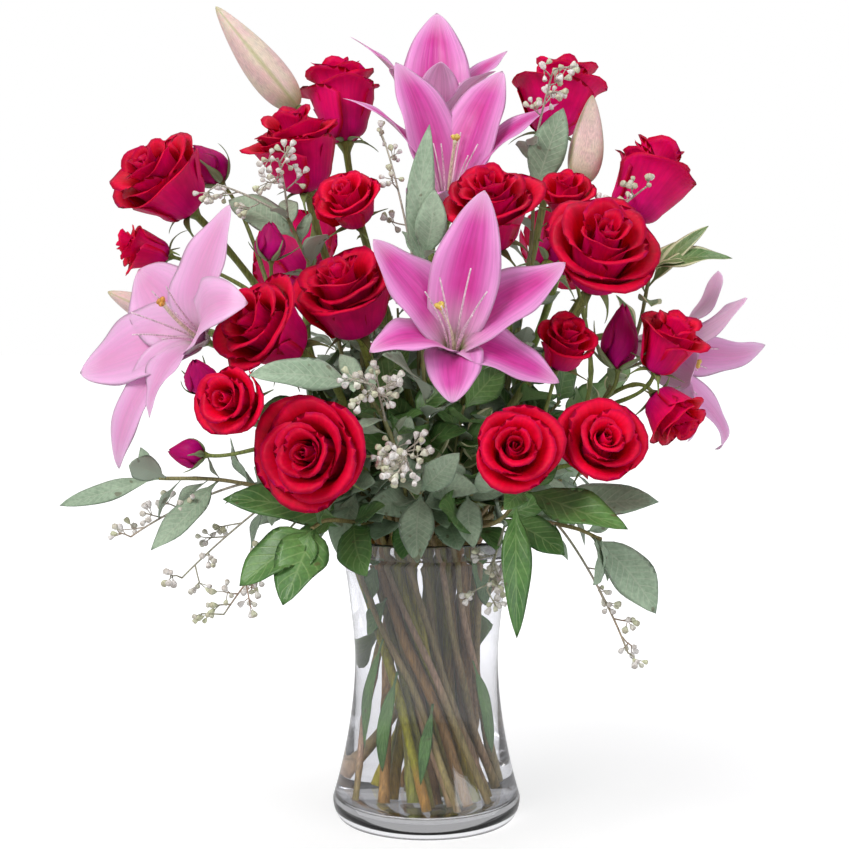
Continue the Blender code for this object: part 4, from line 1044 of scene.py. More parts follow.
lily_wax = waxy_pink("lily tepal", 0.0)
pale_lily_wax = waxy_pink("pale lily tepal", 0.5)
PALE_LILIES = (2, 3)
STYLE_REACH = (0.037, 0.060, 0.056, 0.050, 0.060)
lily_bud_skin = bud_skin()
lily_bark = bark("lily stem", (0.42, 0.40, 0.09), (0.28, 0.30, 0.05), (0.52, 0.40, 0.20), 0.4, (0.24, 0.36, 0.09))
style_wax = bark("lily style", (0.80, 0.80, 0.52), (0.86, 0.84, 0.64), (0.84, 0.74, 0.62), 0.35)
stigma_wax = bark("lily stigma", (0.80, 0.58, 0.10), (0.85, 0.66, 0.22), (0.80, 0.46, 0.08), 0.35)
filament_wax = bark("lily filament", (0.88, 0.68, 0.76), (0.90, 0.74, 0.76), (0.84, 0.58, 0.70), 0.4)
STIGMA_COLOURS = {2: bark("orange stigma", (0.72, 0.30, 0.04), (0.76, 0.36, 0.06), (0.60, 0.2, 0.03), 0.35)}

for number, (base, facing, numbers) in enumerate(LILIES):
    facing = unit(facing)
    middle = standing(tepals(numbers, number), base, facing)
    new_piece(
        f"lily_tepals_{number + 1}",
        closed_sheets(middle, 0.0006),
        pale_lily_wax if number in PALE_LILIES else lily_wax,
        [f"lily_{number + 1}_bloom"],
    )
    reach = STYLE_REACH[number]
    shares = np.linspace(0, 1, 18)[:, None]
    lean = np.array((math.cos(number * 2.1 + 1.2), math.sin(number * 2.1 + 1.2), 0)) * 0.010
    style = shares * (0, 0, reach) + shares**2 * lean
    thick = np.interp(shares[:, 0], (0, 0.22, 0.30, 0.9, 1), (0.0021, 0.0021, 0.0013, 0.0012, 0.0020))
    tip = style[-1]
    style_shape = swept(standing(style, base, facing), thick, 12)
    lobes = np.radians((90, 210, 330))
    knob = []
    for lobe in lobes:
        way = np.array((math.cos(lobe), math.sin(lobe), 0))
        line = tip + np.array(((0, 0, -0.0012), (0, 0, 0.0008), (0, 0, 0.0022), (0, 0, 0.0028))) + np.outer(
            (0.0, 0.0012, 0.0019, 0.0017), way
        )
        knob.append(swept(standing(line, base, facing), (0.0012, 0.0019, 0.0020, 0.0008), 10))
    stamens = []
    for filament in range(6):
        bearing = math.radians(60 * filament + 30)
        way = np.array((math.cos(bearing), math.sin(bearing), 0))
        spread = 0.003 + 0.016 * shares**1.6
        line = spread * way + shares * (0, 0, 0.050 + 0.004 * (filament % 3))
        stamens.append(swept(standing(line, base, facing), np.linspace(0.0009, 0.0005, 18), 7, filament))
    new_piece(f"lily_style_{number + 1}", style_shape, style_wax, ())
    new_piece(f"lily_stigma_{number + 1}", together(knob), STIGMA_COLOURS.get(number, stigma_wax), ())
    new_piece(f"lily_filaments_{number + 1}", together(stamens), filament_wax, ())

for number, (fork, carried, buds) in enumerate(LILY_STEMS, 1):
    ends = []
    for index in carried:
        facing = unit(LILIES[index][1])
        ends.append((np.asarray(LILIES[index][0]) - facing * 0.0004, facing, 0.0046))
    shut = []
    for neck, facing, radius, length in buds:
        facing = unit(facing)
        ends.append((neck, facing, 0.0036))
        points, faces, sheet = lobed_bud(radius, length)
        shut.append((standing(points, neck, facing, 0.6), faces, sheet))
    stem = forked(f"lily_stem_{number}", fork, ends, LILY_STEM_RADIUS, LILY_ARM_RADIUS, number + 40)
    new_piece(f"lily_stalks_{number}", together(stem), lily_bark, [f"lily_stem_{number}"])
    if shut:
        new_piece(f"lily_buds_{number}", together(shut), lily_bud_skin, ())


# ---------------------------------------------------------------- 7. greens
# Branches of seeded eucalyptus, salal and variegated pittosporum fill the bouquet and make its collar. Each is one
# cut twig with alternate stalked leaves; the eucalyptus also carries clusters of pale seed capsules.

# Each branch: its kind, its course above the rim, the leaves it grows, their length, the numbers left off, the
# leaves placed one by one (share of the branch, tip, width), its seed clusters (share, tip, capsules).
BRANCHES = {
    "eucalyptus_left_low": (
        "eucalyptus",
        ((-0.080, -0.052, 0.234), (-0.132, -0.082, 0.250), (-0.176, -0.086, 0.252)),
        5,
        0.046,
        (),
        ((1.0, (-0.241, -0.092, 0.236), 0.014), (0.80, (-0.178, -0.112, 0.208), 0.021)),
        (
            (0.70, (-0.194, -0.092, 0.214), 26),
            (0.40, (-0.130, -0.122, 0.168), 44),
            (0.55, (-0.158, -0.112, 0.190), 26),
        ),
    ),
    "eucalyptus_front": (
        "eucalyptus",
        ((-0.014, -0.080, 0.244), (-0.026, -0.112, 0.290), (-0.042, -0.132, 0.316)),
        6,
        0.040,
        (0,),
        ((1.0, (-0.107, -0.165, 0.326), 0.024),),
        ((0.62, (-0.012, -0.176, 0.272), 70), (0.80, (-0.032, -0.168, 0.318), 46)),
    ),
    "eucalyptus_right_low": (
        "eucalyptus",
        ((0.064, -0.070, 0.222), (0.094, -0.104, 0.222), (0.112, -0.118, 0.216)),
        4,
        0.042,
        (),
        ((0.95, (0.146, -0.130, 0.170), 0.030), (0.60, (0.146, -0.132, 0.243), 0.030)),
        ((0.75, (0.130, -0.116, 0.142), 30), (0.45, (0.040, -0.090, 0.178), 36)),
    ),
    "eucalyptus_centre": (
        "eucalyptus",
        ((0.000, -0.060, 0.280), (-0.004, -0.074, 0.360), (-0.001, -0.084, 0.396)),
        6,
        0.044,
        (2, 3),
        (
            (1.0, (0.005, -0.095, 0.440), 0.021),
            (0.90, (0.002, -0.092, 0.482), 0.019),
            (0.55, (-0.024, -0.138, 0.338), 0.028),
        ),
        ((0.85, (-0.030, -0.030, 0.480), 22),),
    ),
    "eucalyptus_left_high": (
        "eucalyptus",
        ((-0.050, -0.016, 0.290), (-0.066, -0.026, 0.360), (-0.094, -0.038, 0.424)),
        6,
        0.046,
        (0,),
        ((0.94, (-0.136, -0.020, 0.438), 0.028),),
        ((1.0, (-0.098, -0.068, 0.462), 34), (1.0, (-0.140, -0.050, 0.446), 18)),
    ),
    "eucalyptus_right_high": (
        "eucalyptus",
        ((0.052, -0.012, 0.290), (0.072, -0.004, 0.400), (0.074, -0.010, 0.470)),
        6,
        0.046,
        (0, 2, 4),
        ((0.90, (0.094, -0.018, 0.500), 0.026),),
        ((1.0, (0.086, -0.030, 0.524), 34), (0.60, (0.146, -0.064, 0.444), 30)),
    ),
    "eucalyptus_back": (
        "eucalyptus",
        ((-0.030, 0.082, 0.250), (-0.060, 0.130, 0.300), (-0.072, 0.168, 0.330)),
        8,
        0.048,
        (),
        (),
        ((0.80, (-0.062, 0.176, 0.270), 34), (0.95, (-0.050, 0.170, 0.350), 26)),
    ),
    "salal_left": (
        "salal",
        ((-0.046, -0.080, 0.222), (-0.064, -0.116, 0.228), (-0.072, -0.140, 0.226)),
        4,
        0.060,
        (2,),
        ((0.95, (-0.088, -0.172, 0.184), 0.034), (0.70, (-0.128, -0.122, 0.246), 0.030)),
        (),
    ),
    "salal_right": (
        "salal",
        ((0.044, -0.086, 0.222), (0.060, -0.116, 0.244), (0.066, -0.130, 0.250)),
        3,
        0.060,
        (),
        ((0.95, (0.124, -0.165, 0.228), 0.030), (0.85, (0.057, -0.146, 0.158), 0.020)),
        (),
    ),
    "salal_back": (
        "salal",
        ((0.056, 0.080, 0.228), (0.100, 0.118, 0.260), (0.132, 0.140, 0.290)),
        7,
        0.062,
        (),
        (),
        (),
    ),
    "pittosporum_right": (
        "pittosporum",
        ((0.090, 0.000, 0.250), (0.140, -0.014, 0.330), (0.152, -0.046, 0.392)),
        8,
        0.040,
        (4,),
        ((1.0, (0.204, -0.060, 0.396), 0.018), (0.94, (0.190, -0.050, 0.418), 0.012)),
        (),
    ),
}
BRANCH_STEM_RADIUS = 0.0024
FIRST_LEAF = 0.38
LEAF_WIDTH = {"eucalyptus": 0.42, "salal": 0.50, "pittosporum": 0.38}


def through(points, count):
    """A smooth (Catmull-Rom) curve through the points: between two of them a cubic whose pull at each is half
    the step from its neighbour before to its neighbour after."""
    given = np.array(points, float)
    ends = np.vstack((2 * given[0] - given[1], given, 2 * given[-1] - given[-2]))
    pulls = (ends[2:] - ends[:-2]) / 2
    shares = np.linspace(0, 1, 17)[:-1]
    spans = [hermite(given[i], pulls[i], given[i + 1], pulls[i + 1], shares) for i in range(len(given) - 1)]
    return evenly(np.vstack((*spans, given[-1:])), count)


def at_shares(route, shares):
    """Points and directions of a route of even steps at shares of its length."""
    where = np.asarray(shares, float) * (len(route) - 1)
    rows = np.arange(len(route))
    ahead = unit(np.gradient(route, axis=0))
    points = np.stack([np.interp(where, rows, route[:, axis]) for axis in range(3)], axis=-1)
    ways = np.stack([np.interp(where, rows, ahead[:, axis]) for axis in range(3)], axis=-1)
    return points, unit(ways)


def blades(base, tip, width, face, bow, seed, rows=15, columns=9, stalk=0.12, blunt=0.85, trough=0.22):
    """Middle surfaces of leaves, all at once. Along: the line from base to tip, bowed up its face by a parabola.
    Half the width is half the given one times sin(pi share^blunt)^0.8 beyond the stalk. Across: the halves rise
    from the midrib by trough, the margins wave a little, and the blade turns about its midrib toward the tip."""
    dice = np.random.default_rng(seed)
    count = len(base)
    base, tip, face = (np.asarray(x, float) for x in (base, tip, face))
    line = tip - base
    length = np.linalg.norm(line, axis=-1)
    ahead = unit(line)
    normal = unit(face - ahead * (face * ahead).sum(axis=-1, keepdims=True))
    side = np.cross(normal, ahead)

    def each(low, high):
        return dice.uniform(low, high, count)[:, None, None]

    u = np.linspace(0, 1, rows)[None, :, None]
    v = np.linspace(-1, 1, columns)[None, None]
    share = np.clip((u - stalk) / (1 - stalk), 0, 1)
    half = 0.5 * np.asarray(width)[:, None, None] * np.sin(math.pi * share**blunt) ** 0.8
    half = np.maximum(half, 0.0007 * (1.25 - u))
    turn = each(-0.5, 0.5) * share
    hook = each(-0.05, 0.09) * length[:, None, None] * share**2.5
    aside = each(-0.05, 0.05) * length[:, None, None] * np.sin(math.pi * share)
    wave = half * 0.16 * np.sin(math.tau * 1.7 * u + each(0, 6.3) + np.sign(v)) * v**2
    lift = np.abs(v) * half * trough + wave
    across = v * half * np.cos(turn) - lift * np.sin(turn) + aside
    raised = v * half * np.sin(turn) + lift * np.cos(turn)
    raised = raised + np.asarray(bow)[:, None, None] * length[:, None, None] * 4 * u * (1 - u) - hook
    spots = base[:, None, None] + line[:, None, None] * (u + 0 * v)[..., None]
    return spots + side[:, None, None] * across[..., None] + normal[:, None, None] * raised[..., None]


def grown(route, kind, numbers, count, length, golden=137.5):
    """Bases, tips, widths and faces of the leaves a branch grows: each stands a golden angle round from the last,
    and leans 33 degrees toward the branch's tip."""
    numbers = np.asarray(numbers, float)
    base, along = at_shares(route, FIRST_LEAF + (0.97 - FIRST_LEAF) * numbers / max(count - 1, 1))
    side = unit(np.cross(along, (0.3, 0.2, 1.0)))
    other = np.cross(along, side)
    angle = np.radians(golden) * numbers[:, None]
    out = side * np.cos(angle) + other * np.sin(angle)
    reach = length * (1.0 - 0.25 * (numbers % 3) / 2)
    tip = base + unit(out * 0.85 + along * 0.55) * reach[:, None]
    return base, tip, reach * LEAF_WIDTH[kind], unit(along + np.array((0, 0, 0.6)))


CAPSULE_SIDES = 6
CAPSULE_LENGTH = 0.0037
capsule_points, capsule_faces, _ = turned(
    ((0, 0), (0.0004, 0.0003), (0.0012, 0.0016), (0.0016, 0.0029), (0.0012, CAPSULE_LENGTH), (0, 0.0034)),
    CAPSULE_SIDES,
)


def seed_cluster(start, tip, count, seed, size=1.25):
    """A seed cluster: a stalk from the branch, side twigs off its outer part in turn, and at each twig's end a few
    capsules that fan out. Each capsule is the same small turned pear, scaled and turned to its own direction."""
    dice = np.random.default_rng(seed)
    start, tip = np.asarray(start, float), np.asarray(tip, float)
    middle = (start + tip) / 2 + (0, 0, 0.12 * np.linalg.norm(tip - start)) + dice.normal(0, 0.002, 3)
    stalk = hermite(start, (middle - start) * 1.6, tip, (tip - middle) * 1.6, np.linspace(0, 1, 18))
    shapes = [swept(stalk, np.linspace(0.0009, 0.0006, 18), 6, seed)]
    twigs = max(3, count // 5)
    bases, ways = at_shares(stalk, np.linspace(0.42, 1.0, twigs))
    aside = unit(np.cross(ways, dice.normal(size=(twigs, 3))))
    heads = unit(ways * 0.6 + aside * 0.9)
    lengths = dice.uniform(0.006, 0.013, twigs) * size
    ends = bases + heads * lengths[:, None]
    for base, end in zip(bases, ends):
        bend = (base + end) / 2 + dice.normal(0, 0.0006, 3)
        shapes.append(swept((base, bend, end), (0.0006, 0.0005, 0.0005), 5, seed))
    which = np.arange(count) % twigs
    way = unit(heads[which] + dice.normal(0, 0.75, (count, 3)))
    gap = dice.uniform(0.0015, 0.0050, count)[:, None] * size
    origin = ends[which] - heads[which] * dice.uniform(0, 0.006, count)[:, None]
    for first, last in zip(origin, origin + way * gap):
        shapes.append(swept((first, (first + last) / 2, last), 0.00032, 4, seed))
    x = unit(np.cross(way, (0.31, 0.22, 0.93)))
    y = np.cross(way, x)
    scale = dice.uniform(0.85, 1.25, count)[:, None, None] * size
    local = capsule_points[None] * scale
    spots = (origin + way * gap)[:, None] + local[..., :1] * x[:, None] + local[..., 1:2] * y[:, None]
    spots = spots + local[..., 2:] * way[:, None]
    starts = len(capsule_points) * np.arange(count)[:, None, None]
    faces = [(face[None] + starts).reshape(-1, face.shape[1]) for face in capsule_faces]
    sheet = np.zeros((count, len(capsule_points), 3))
    sheet[..., 0] = capsule_points[:, 2] / CAPSULE_LENGTH
    sheet[..., 2] = dice.uniform(0, 1, count)[:, None]
    return together(shapes), (spots.reshape(-1, 3), faces, sheet.reshape(-1, 3))


def veined_group():
    """Side veins of a leaf: a saw of the share along less a slant times the share aside, folded so that each
    vein is a narrow ridge, joined with the midrib; and the distance from the midrib, the share along, and back
    or front. Read from the sheet attribute."""
    group = bpy.data.node_groups.new("side veins", "ShaderNodeTree")
    for name in ("Pairs", "Slant", "Rib Width"):
        group.interface.new_socket(name, in_out="INPUT", socket_type="NodeSocketFloat")
    for name in ("Veins", "Rib", "Aside", "Along", "Back"):
        group.interface.new_socket(name, in_out="OUTPUT", socket_type="NodeSocketFloat")
    inlet = group.nodes.new("NodeGroupInput")
    outlet = group.nodes.new("NodeGroupOutput")
    place = add_node(group, "ShaderNodeAttribute", attribute_name="sheet")
    along, across, coded = add_node(group, "ShaderNodeSeparateXYZ", {0: place.outputs["Vector"]}).outputs
    aside = add_node(group, "ShaderNodeMath", {0: across}, operation="ABSOLUTE").outputs[0]
    slanted = add_node(
        group, "ShaderNodeMath", {0: aside, 1: inlet.outputs["Slant"], 2: along}, operation="MULTIPLY_ADD"
    ).outputs[0]
    rows = add_node(group, "ShaderNodeMath", {0: slanted, 1: inlet.outputs["Pairs"]}, operation="MULTIPLY").outputs[0]
    folded = add_node(group, "ShaderNodeMath", {0: rows, 1: 0.5}, operation="PINGPONG").outputs[0]
    vein = spread_out(group, folded, 0.0, 0.13, 1.0, 0.0)
    faded = add_node(
        group, "ShaderNodeMath", {0: vein, 1: spread_out(group, aside, 0.55, 1.0, 1.0, 0.25)}, operation="MULTIPLY"
    ).outputs[0]
    rib = add_node(
        group, "ShaderNodeMapRange", {0: aside, 1: 0.0, 2: inlet.outputs["Rib Width"], 3: 1.0, 4: 0.0}
    ).outputs[0]
    both = add_node(group, "ShaderNodeMath", {0: faded, 1: rib}, operation="MAXIMUM").outputs[0]
    back = spread_out(group, coded, 2.0, 9.0)
    for name, socket in (("Veins", both), ("Rib", rib), ("Aside", aside), ("Along", along), ("Back", back)):
        group.links.new(socket, outlet.inputs[name])
    return group


side_veins = veined_group()


def leaf_finish(name, dark, light, reverse, vein, roughness, pairs, slant, vein_share, margin=None, bloom=0.0):
    """A leaf's finish: two greens clouded together, paler veins that stand up a little, a paler dull reverse,
    sometimes a cream margin with a broken edge, and small blemishes."""
    material, tree, shader = finish_named(name, dark, roughness, Specular_IOR_Level=0.45, Sheen_Weight=bloom)
    ribs = add_node(tree, "ShaderNodeGroup", node_tree=side_veins)
    ribs.inputs["Pairs"].default_value = pairs
    ribs.inputs["Slant"].default_value = slant
    ribs.inputs["Rib Width"].default_value = 0.07
    veins, rib, aside, along, back = ribs.outputs
    here = add_node(tree, "ShaderNodeTexCoord").outputs["Object"]
    cloud = add_node(tree, "ShaderNodeTexNoise", {"Vector": here, "Scale": 26.0, "Detail": 4.0}).outputs["Fac"]
    grain = add_node(tree, "ShaderNodeTexNoise", {"Vector": here, "Scale": 420.0, "Detail": 3.0}).outputs["Fac"]
    skin = mixed(tree, spread_out(tree, cloud, 0.36, 0.64), dark, light)
    skin = mixed(tree, 1.0, skin, spread_out(tree, grain, 0.3, 0.7, 0.86, 1.12), "MULTIPLY")
    if margin:
        edge = add_node(
            tree, "ShaderNodeMath", {0: cloud, 1: 0.9, 2: aside}, operation="MULTIPLY_ADD"
        ).outputs[0]
        skin = mixed(tree, spread_out(tree, edge, 1.08, 1.22), skin, margin)
    shown = add_node(tree, "ShaderNodeMath", {0: veins, 1: vein_share}, operation="MULTIPLY").outputs[0]
    skin = mixed(tree, shown, skin, vein)
    behind = mixed(tree, shown, reverse, vein)
    skin = mixed(tree, back, skin, behind)
    spots = add_node(tree, "ShaderNodeTexNoise", {"Vector": here, "Scale": 130.0, "Detail": 1.0}).outputs["Fac"]
    skin = mixed(tree, spread_out(tree, spots, 0.70, 0.76, 0.0, 0.6), skin, (0.10, 0.07, 0.03))
    tree.links.new(skin, shader.inputs["Base Color"])
    height = add_node(tree, "ShaderNodeMath", {0: veins, 1: 0.6, 2: grain}, operation="MULTIPLY_ADD").outputs[0]
    raised = add_node(tree, "ShaderNodeBump", {"Height": height, "Strength": 0.30, "Distance": 0.0006})
    tree.links.new(raised.outputs["Normal"], shader.inputs["Normal"])
    tree.links.new(spread_out(tree, cloud, 0.3, 0.7, roughness - 0.06, roughness + 0.08), shader.inputs["Roughness"])
    return material


def capsule_finish():
    """Seed capsules: chalky grey-white going to yellow-green, darker at the flat top, each its own shade."""
    material, tree, shader = finish_named("seed capsule", (0.80, 0.78, 0.74), 0.65)
    place = add_node(tree, "ShaderNodeAttribute", attribute_name="sheet")
    along, _, own = add_node(tree, "ShaderNodeSeparateXYZ", {0: place.outputs["Vector"]}).outputs
    skin = mixed(tree, spread_out(tree, own, 0.35, 0.95), (0.82, 0.79, 0.77), (0.62, 0.64, 0.44))
    skin = mixed(tree, spread_out(tree, along, 0.82, 1.0, 0.0, 0.45), skin, (0.42, 0.34, 0.26))
    here = add_node(tree, "ShaderNodeTexCoord").outputs["Object"]
    grain = add_node(tree, "ShaderNodeTexNoise", {"Vector": here, "Scale": 700.0, "Detail": 3.0}).outputs["Fac"]
    skin = mixed(tree, 1.0, skin, spread_out(tree, grain, 0.3, 0.7, 0.78, 1.12), "MULTIPLY")
    tree.links.new(skin, shader.inputs["Base Color"])
    raised = add_node(tree, "ShaderNodeBump", {"Height": grain, "Strength": 0.3, "Distance": 0.0004})
    tree.links.new(raised.outputs["Normal"], shader.inputs["Normal"])
    return material


LEAF_FINISHES = {
    "eucalyptus": leaf_finish(
        "eucalyptus leaf", (0.23, 0.33, 0.22), (0.34, 0.45, 0.32), (0.44, 0.53, 0.43), (0.52, 0.58, 0.44), 0.58,
        13.0, -0.16, 0.35, None, 0.15,
    ),
    "salal": leaf_finish(
        "salal leaf", (0.060, 0.160, 0.040), (0.115, 0.250, 0.065), (0.20, 0.33, 0.13), (0.28, 0.42, 0.16), 0.36,
        8.0, -0.26, 0.5,
    ),
    "pittosporum": leaf_finish(
        "pittosporum leaf", (0.10, 0.20, 0.06), (0.22, 0.32, 0.12), (0.34, 0.42, 0.22), (0.50, 0.54, 0.30), 0.40,
        9.0, -0.20, 0.3, (0.66, 0.68, 0.42),
    ),
}
twig_bark = bark("green twig", (0.34, 0.27, 0.10), (0.24, 0.17, 0.06), (0.50, 0.30, 0.20), 0.5, (0.24, 0.27, 0.11))
seed_bark = bark("seed twig", (0.52, 0.48, 0.40), (0.38, 0.38, 0.26), (0.46, 0.30, 0.22), 0.6)
capsule_skin = capsule_finish()
TIP_SHAPES = {"eucalyptus": 0.92, "salal": 0.78, "pittosporum": 0.85}

for order, (name, (kind, course, count, length, left_off, placed, clusters)) in enumerate(BRANCHES.items()):
    foot, rim = straight_run(name)
    below = swayed(foot, rim - (rim - foot) * 0.06, 24, order + 3)
    above = through((rim - (rim - foot) * 0.06, rim + (rim - foot) * 0.05, *course), 40)
    route = np.vstack((below, above))
    twig_radii = grown_radii(route, BRANCH_STEM_RADIUS, 0.0012, 0.034, order * 0.3, 0.22)
    stem_shape = [swept(route, twig_radii, number=order + 60)]
    numbers = [number for number in range(count) if number not in left_off]
    base, tip, width, face = grown(above, kind, numbers, count, length)
    extra_base, extra_tip, extra_width, extra_face = grown(
        above, kind, np.arange(count + 1) * 0.9 + 0.05, count, length * 0.72, 222.5
    )
    placed_base, placed_way = at_shares(above, [share for share, _, _ in placed])
    base = np.vstack((base, extra_base, (placed_base - placed_way * 0.002).reshape(-1, 3)))
    tip = np.vstack((tip, extra_tip, np.array([end for _, end, _ in placed], float).reshape(-1, 3)))
    width = np.concatenate((width * 1.06, extra_width, [wide for _, _, wide in placed]))
    face = np.vstack((face, extra_face, np.broadcast_to((0.05, -0.75, 0.65), (len(placed), 3))))
    middle = blades(base, tip, width, face, np.full(len(base), 0.05), order, blunt=TIP_SHAPES[kind])
    new_piece(
        f"{name}_leaves", closed_sheets(middle, 0.0005), LEAF_FINISHES[kind], [name]
    )
    new_piece(f"{name}_twig", together(stem_shape), twig_bark, ())
    if clusters:
        starts, _ = at_shares(above, [share for share, _, _ in clusters])
        made = [
            seed_cluster(start, end, capsules, 300 + 10 * order + place)
            for place, (start, (_, end, capsules)) in enumerate(zip(starts, clusters))
        ]
        new_piece(f"{name}_seed_twigs", together([twigs for twigs, _ in made]), seed_bark, ())
        new_piece(f"{name}_seeds", together([seeds for _, seeds in made]), capsule_skin, ())

# Short side twigs of the same three greens fill the middle, low in the mouth and between the flowers' stems. Each
# is pushed in from the mouth outward, so its leaves stand under and behind the blooms and never in one.
FILLERS = 62
FILLER_KINDS = ("eucalyptus", "salal", "eucalyptus", "pittosporum")
filler_dice = np.random.default_rng(5)
keep_clear = [(np.asarray(centre), radius * 1.12) for centre, _, radius, *_ in ROSES]
for _, blooms, buds in SPRAYS:
    keep_clear += [(np.asarray(centre), radius * 1.12) for centre, _, radius, *_ in blooms]
    for neck, facing, radius, length in buds:
        keep_clear.append((np.asarray(neck) + unit(facing) * length / 2, radius * 1.5))
for base, facing, _ in LILIES:
    keep_clear += [(np.asarray(base) + unit(facing) * far, wide) for far, wide in ((0.02, 0.024), (0.055, 0.048))]
clear_centres = np.array([centre for centre, _ in keep_clear])
clear_radii = np.array([radius for _, radius in keep_clear])
fill_twigs = []
fill_leaves = {kind: [] for kind in LEAF_WIDTH}
for filler in range(FILLERS):
    kind = FILLER_KINDS[filler % len(FILLER_KINDS)]
    tier = filler % 4
    bearing = math.tau * filler * 0.382 + filler_dice.uniform(-0.2, 0.2)
    way = np.array((math.cos(bearing), math.sin(bearing) * 0.85, 0))
    far = (0.112, 0.088, 0.060, 0.074)[tier] * filler_dice.uniform(0.85, 1.1)
    high = (0.246, 0.300, 0.368, 0.262)[tier] + filler_dice.uniform(-0.012, 0.016)
    turned_way = np.array((math.cos(bearing - 0.5), math.sin(bearing - 0.5), 0))
    start = turned_way * 0.030 + (0, 0, 0.196)
    rim_point = way * 0.044 + (0, 0, 0.212)
    end = way * far + (0, 0, high)
    route = through((start, rim_point, (rim_point + end) / 2 + (0, 0, 0.012), end), 26)
    fill_twigs.append(swept(route, np.linspace(0.0019, 0.0009, 26), 9, 80 + filler))
    leaves = 8
    length = {"eucalyptus": 0.046, "salal": 0.052, "pittosporum": 0.038}[kind]
    base, tip, width, face = grown(route, kind, np.arange(leaves), leaves, length * filler_dice.uniform(0.85, 1.15))
    face = unit(face + way * 0.8)
    probes = np.stack([base + (tip - base) * share for share in (0.35, 0.6, 0.8, 1.0)], axis=1)
    distance = np.linalg.norm(probes[:, :, None] - clear_centres, axis=-1)
    free = (distance > clear_radii).all(axis=(1, 2)) & (tip[:, 2] > 0.19)
    fill_leaves[kind].append((base[free], tip[free], width[free] * 1.1, face[free]))
for order, (kind, groups) in enumerate(fill_leaves.items()):
    base, tip, width, face = (np.concatenate(parts) for parts in zip(*groups))
    middle = blades(base, tip, width, face, np.full(len(base), 0.06), 70 + order, blunt=TIP_SHAPES[kind])
    new_piece(f"filler_{kind}_leaves", closed_sheets(middle, 0.0005), LEAF_FINISHES[kind], ())
new_piece("filler_twigs", together(fill_twigs), twig_bark, ())

# Wide leaves lean out over the front of the rim and hide the crossing of the stems: base, tip, width.
COLLAR_LEAVES = {
    "salal": (
        ((-0.036, -0.046, 0.216), (-0.054, -0.082, 0.200), 0.027),
        ((-0.004, -0.048, 0.214), (-0.016, -0.082, 0.198), 0.026),
        ((0.034, -0.044, 0.216), (0.046, -0.078, 0.202), 0.024),
        ((0.014, -0.046, 0.226), (0.020, -0.090, 0.238), 0.026),
    ),
    "eucalyptus": (
        ((-0.020, -0.048, 0.218), (-0.034, -0.088, 0.212), 0.026),
        ((0.014, -0.050, 0.218), (0.022, -0.088, 0.206), 0.026),
        ((-0.012, -0.048, 0.228), (-0.018, -0.094, 0.232), 0.025),
        ((-0.034, -0.044, 0.226), (-0.060, -0.080, 0.232), 0.024),
    ),
}
for order, (kind, leaves) in enumerate(COLLAR_LEAVES.items()):
    base, tip, width = (np.array(column, float) for column in zip(*leaves))
    face = unit(base * (0.6, 1, 0) + (0, 0, 0.06))
    middle = blades(base, tip, width, face, np.full(len(base), 0.08), 95 + order, blunt=TIP_SHAPES[kind])
    new_piece(f"collar_{kind}_leaves", closed_sheets(middle, 0.0005), LEAF_FINISHES[kind], ())

# A few leaves were left on below the rim and stand in the water near the glass: base, tip, width.
SUNK_LEAVES = (
    ((-0.028, -0.020, 0.190), (-0.036, -0.012, 0.158), 0.013),
    ((-0.024, -0.024, 0.164), (-0.034, -0.010, 0.134), 0.014),
    ((-0.026, -0.020, 0.134), (-0.041, -0.016, 0.052), 0.011),
    ((-0.018, -0.030, 0.112), (-0.030, -0.032, 0.040), 0.010),
    ((0.026, -0.022, 0.192), (0.034, -0.008, 0.156), 0.013),
    ((0.028, -0.020, 0.118), (0.042, -0.018, 0.050), 0.011),
    ((0.004, -0.034, 0.090), (-0.004, -0.041, 0.034), 0.008),
    ((0.014, 0.030, 0.160), (0.022, 0.030, 0.118), 0.015),
    ((-0.020, 0.026, 0.140), (-0.028, 0.030, 0.086), 0.015),
)
base, tip, width = (np.array(column, float) for column in zip(*SUNK_LEAVES))
outward = unit(base * (1, 1, 0))
middle = blades(base, tip, width, outward, np.full(len(base), 0.04), 91, blunt=0.9)
new_piece("sunk_leaves", closed_sheets(middle, 0.0005), LEAF_FINISHES["salal"], ())


# ---------------------------------------------------------------- 8. floor, lights and camera
# A white studio table that glows a little, as one lit from below does, its glow dimmed round the vase's foot as a
# painted shade; a broad soft key from the upper left, a fill from the right, a light above, and an even white
# surround.

def seen_straight(tree):
    """1 for a camera ray and for one that has since only passed through glass and water, 0 for all others."""
    rays = add_node(tree, "ShaderNodeLightPath").outputs
    clear = add_node(
        tree, "ShaderNodeMath", {0: rays["Is Camera Ray"], 1: rays["Is Transmission Ray"]}, operation="MAXIMUM"
    )
    turns = add_node(tree, "ShaderNodeMath", {0: rays["Diffuse Depth"], 1: rays["Glossy Depth"]}, operation="ADD")
    none = add_node(tree, "ShaderNodeMath", {0: turns.outputs[0], 1: 0.5}, operation="LESS_THAN")
    return add_node(
        tree, "ShaderNodeMath", {0: clear.outputs[0], 1: none.outputs[0]}, operation="MULTIPLY"
    ).outputs[0]


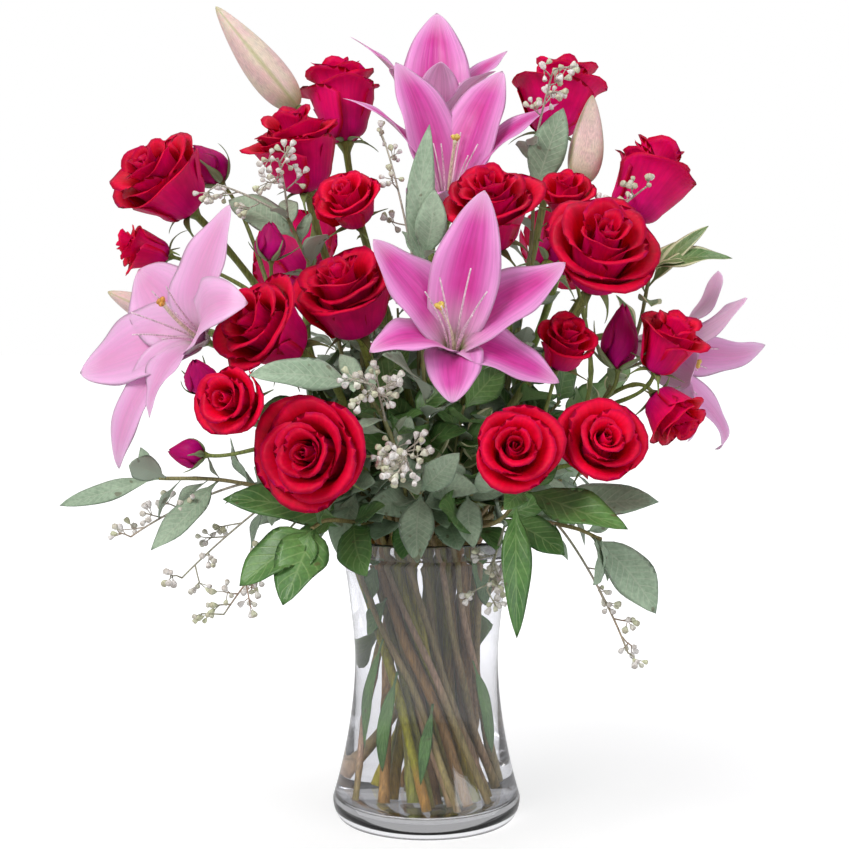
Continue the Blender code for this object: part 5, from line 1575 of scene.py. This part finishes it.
FLOOR_HALF = 9.0
steps = np.linspace(-FLOOR_HALF, FLOOR_HALF, 3)
table_points = np.stack(np.broadcast_arrays(steps[None], steps[:, None], -0.0002), axis=-1).reshape(-1, 3)
table_mesh = bpy.data.meshes.new("studio_table")
table_mesh.from_pydata(table_points.tolist(), [], grid_faces(3, 3).tolist())
paper, tree, shader = finish_named(
    "white table", (0.48, 0.48, 0.49), 0.9, Emission_Color=(1.0, 1.0, 1.0, 1.0), Specular_IOR_Level=0.1
)
out = add_node(
    tree,
    "ShaderNodeVectorMath",
    {0: add_node(tree, "ShaderNodeTexCoord").outputs["Object"]},
    operation="LENGTH",
)
# Painted shade: the glow's colour rises from 0.64 of white within 5 cm of the vase to full white 0.9 m out, so the
# table is darker round the vase's foot.
painted_shade_glow = spread_out(tree, out.outputs["Value"], 0.05, 0.90, 0.64, 1.0)
grey = add_node(tree, "ShaderNodeCombineColor", {0: painted_shade_glow, 1: painted_shade_glow, 2: painted_shade_glow})
tree.links.new(grey.outputs[0], shader.inputs["Emission Color"])
GLOW_GIVEN, GLOW_SEEN = 0.32, 0.94
lit = spread_out(tree, seen_straight(tree), 0.0, 1.0, GLOW_GIVEN, GLOW_SEEN, even=False)
tree.links.new(lit, shader.inputs["Emission Strength"])
table_mesh.materials.append(paper)
table = bpy.data.objects.new("studio_table", table_mesh)
bpy.context.scene.collection.objects.link(table)

world = bpy.data.worlds.new("studio light")
world.use_nodes = True
surround = world.node_tree.nodes["Background"]
surround.inputs["Color"].default_value = (1.0, 1.0, 1.0, 1)
LIGHT_GIVEN, LIGHT_SEEN = 0.40, 1.0
strength = spread_out(world.node_tree, seen_straight(world.node_tree), 0.0, 1.0, LIGHT_GIVEN, LIGHT_SEEN, even=False)
world.node_tree.links.new(strength, surround.inputs["Strength"])
bpy.context.scene.world = world


def soft_light(name, place, aim, size, power, colour):
    """A square soft box at a place, turned to face its aim."""
    data = bpy.data.lights.new(name, "AREA")
    data.size, data.energy, data.color = size, power, colour
    lamp = bpy.data.objects.new(name, data)
    bpy.context.scene.collection.objects.link(lamp)
    back = unit(np.subtract(place, aim))
    side = unit(np.cross((0, 0, 1), back))
    up = np.cross(back, side)
    lamp.matrix_world = [
        (side[0], side[1], side[2], 0),
        (up[0], up[1], up[2], 0),
        (back[0], back[1], back[2], 0),
        (*place, 1),
    ]


soft_light("key", (-1.3, -1.6, 2.0), (0, 0, 0.32), 1.2, 46.0, (1.0, 0.985, 0.96))
soft_light("fill", (1.7, -1.2, 1.0), (0, 0, 0.30), 1.4, 14.0, (0.96, 0.98, 1.0))
soft_light("top", (0.1, 0.5, 2.3), (0, 0, 0.35), 1.2, 10.0, (1.0, 1.0, 1.0))

bpy.context.scene.view_settings.view_transform = "Standard"
lens = bpy.data.cameras.new("camera")
lens.sensor_width = 36.0
lens.lens = 75.4
lens.shift_x = -2 / 849
camera = bpy.data.objects.new("camera", lens)
camera.location = (0.0, -1.25, 0.375)
camera.rotation_euler = (math.radians(85.7), 0.0, 0.0)
bpy.context.scene.collection.objects.link(camera)
bpy.context.scene.camera = camera
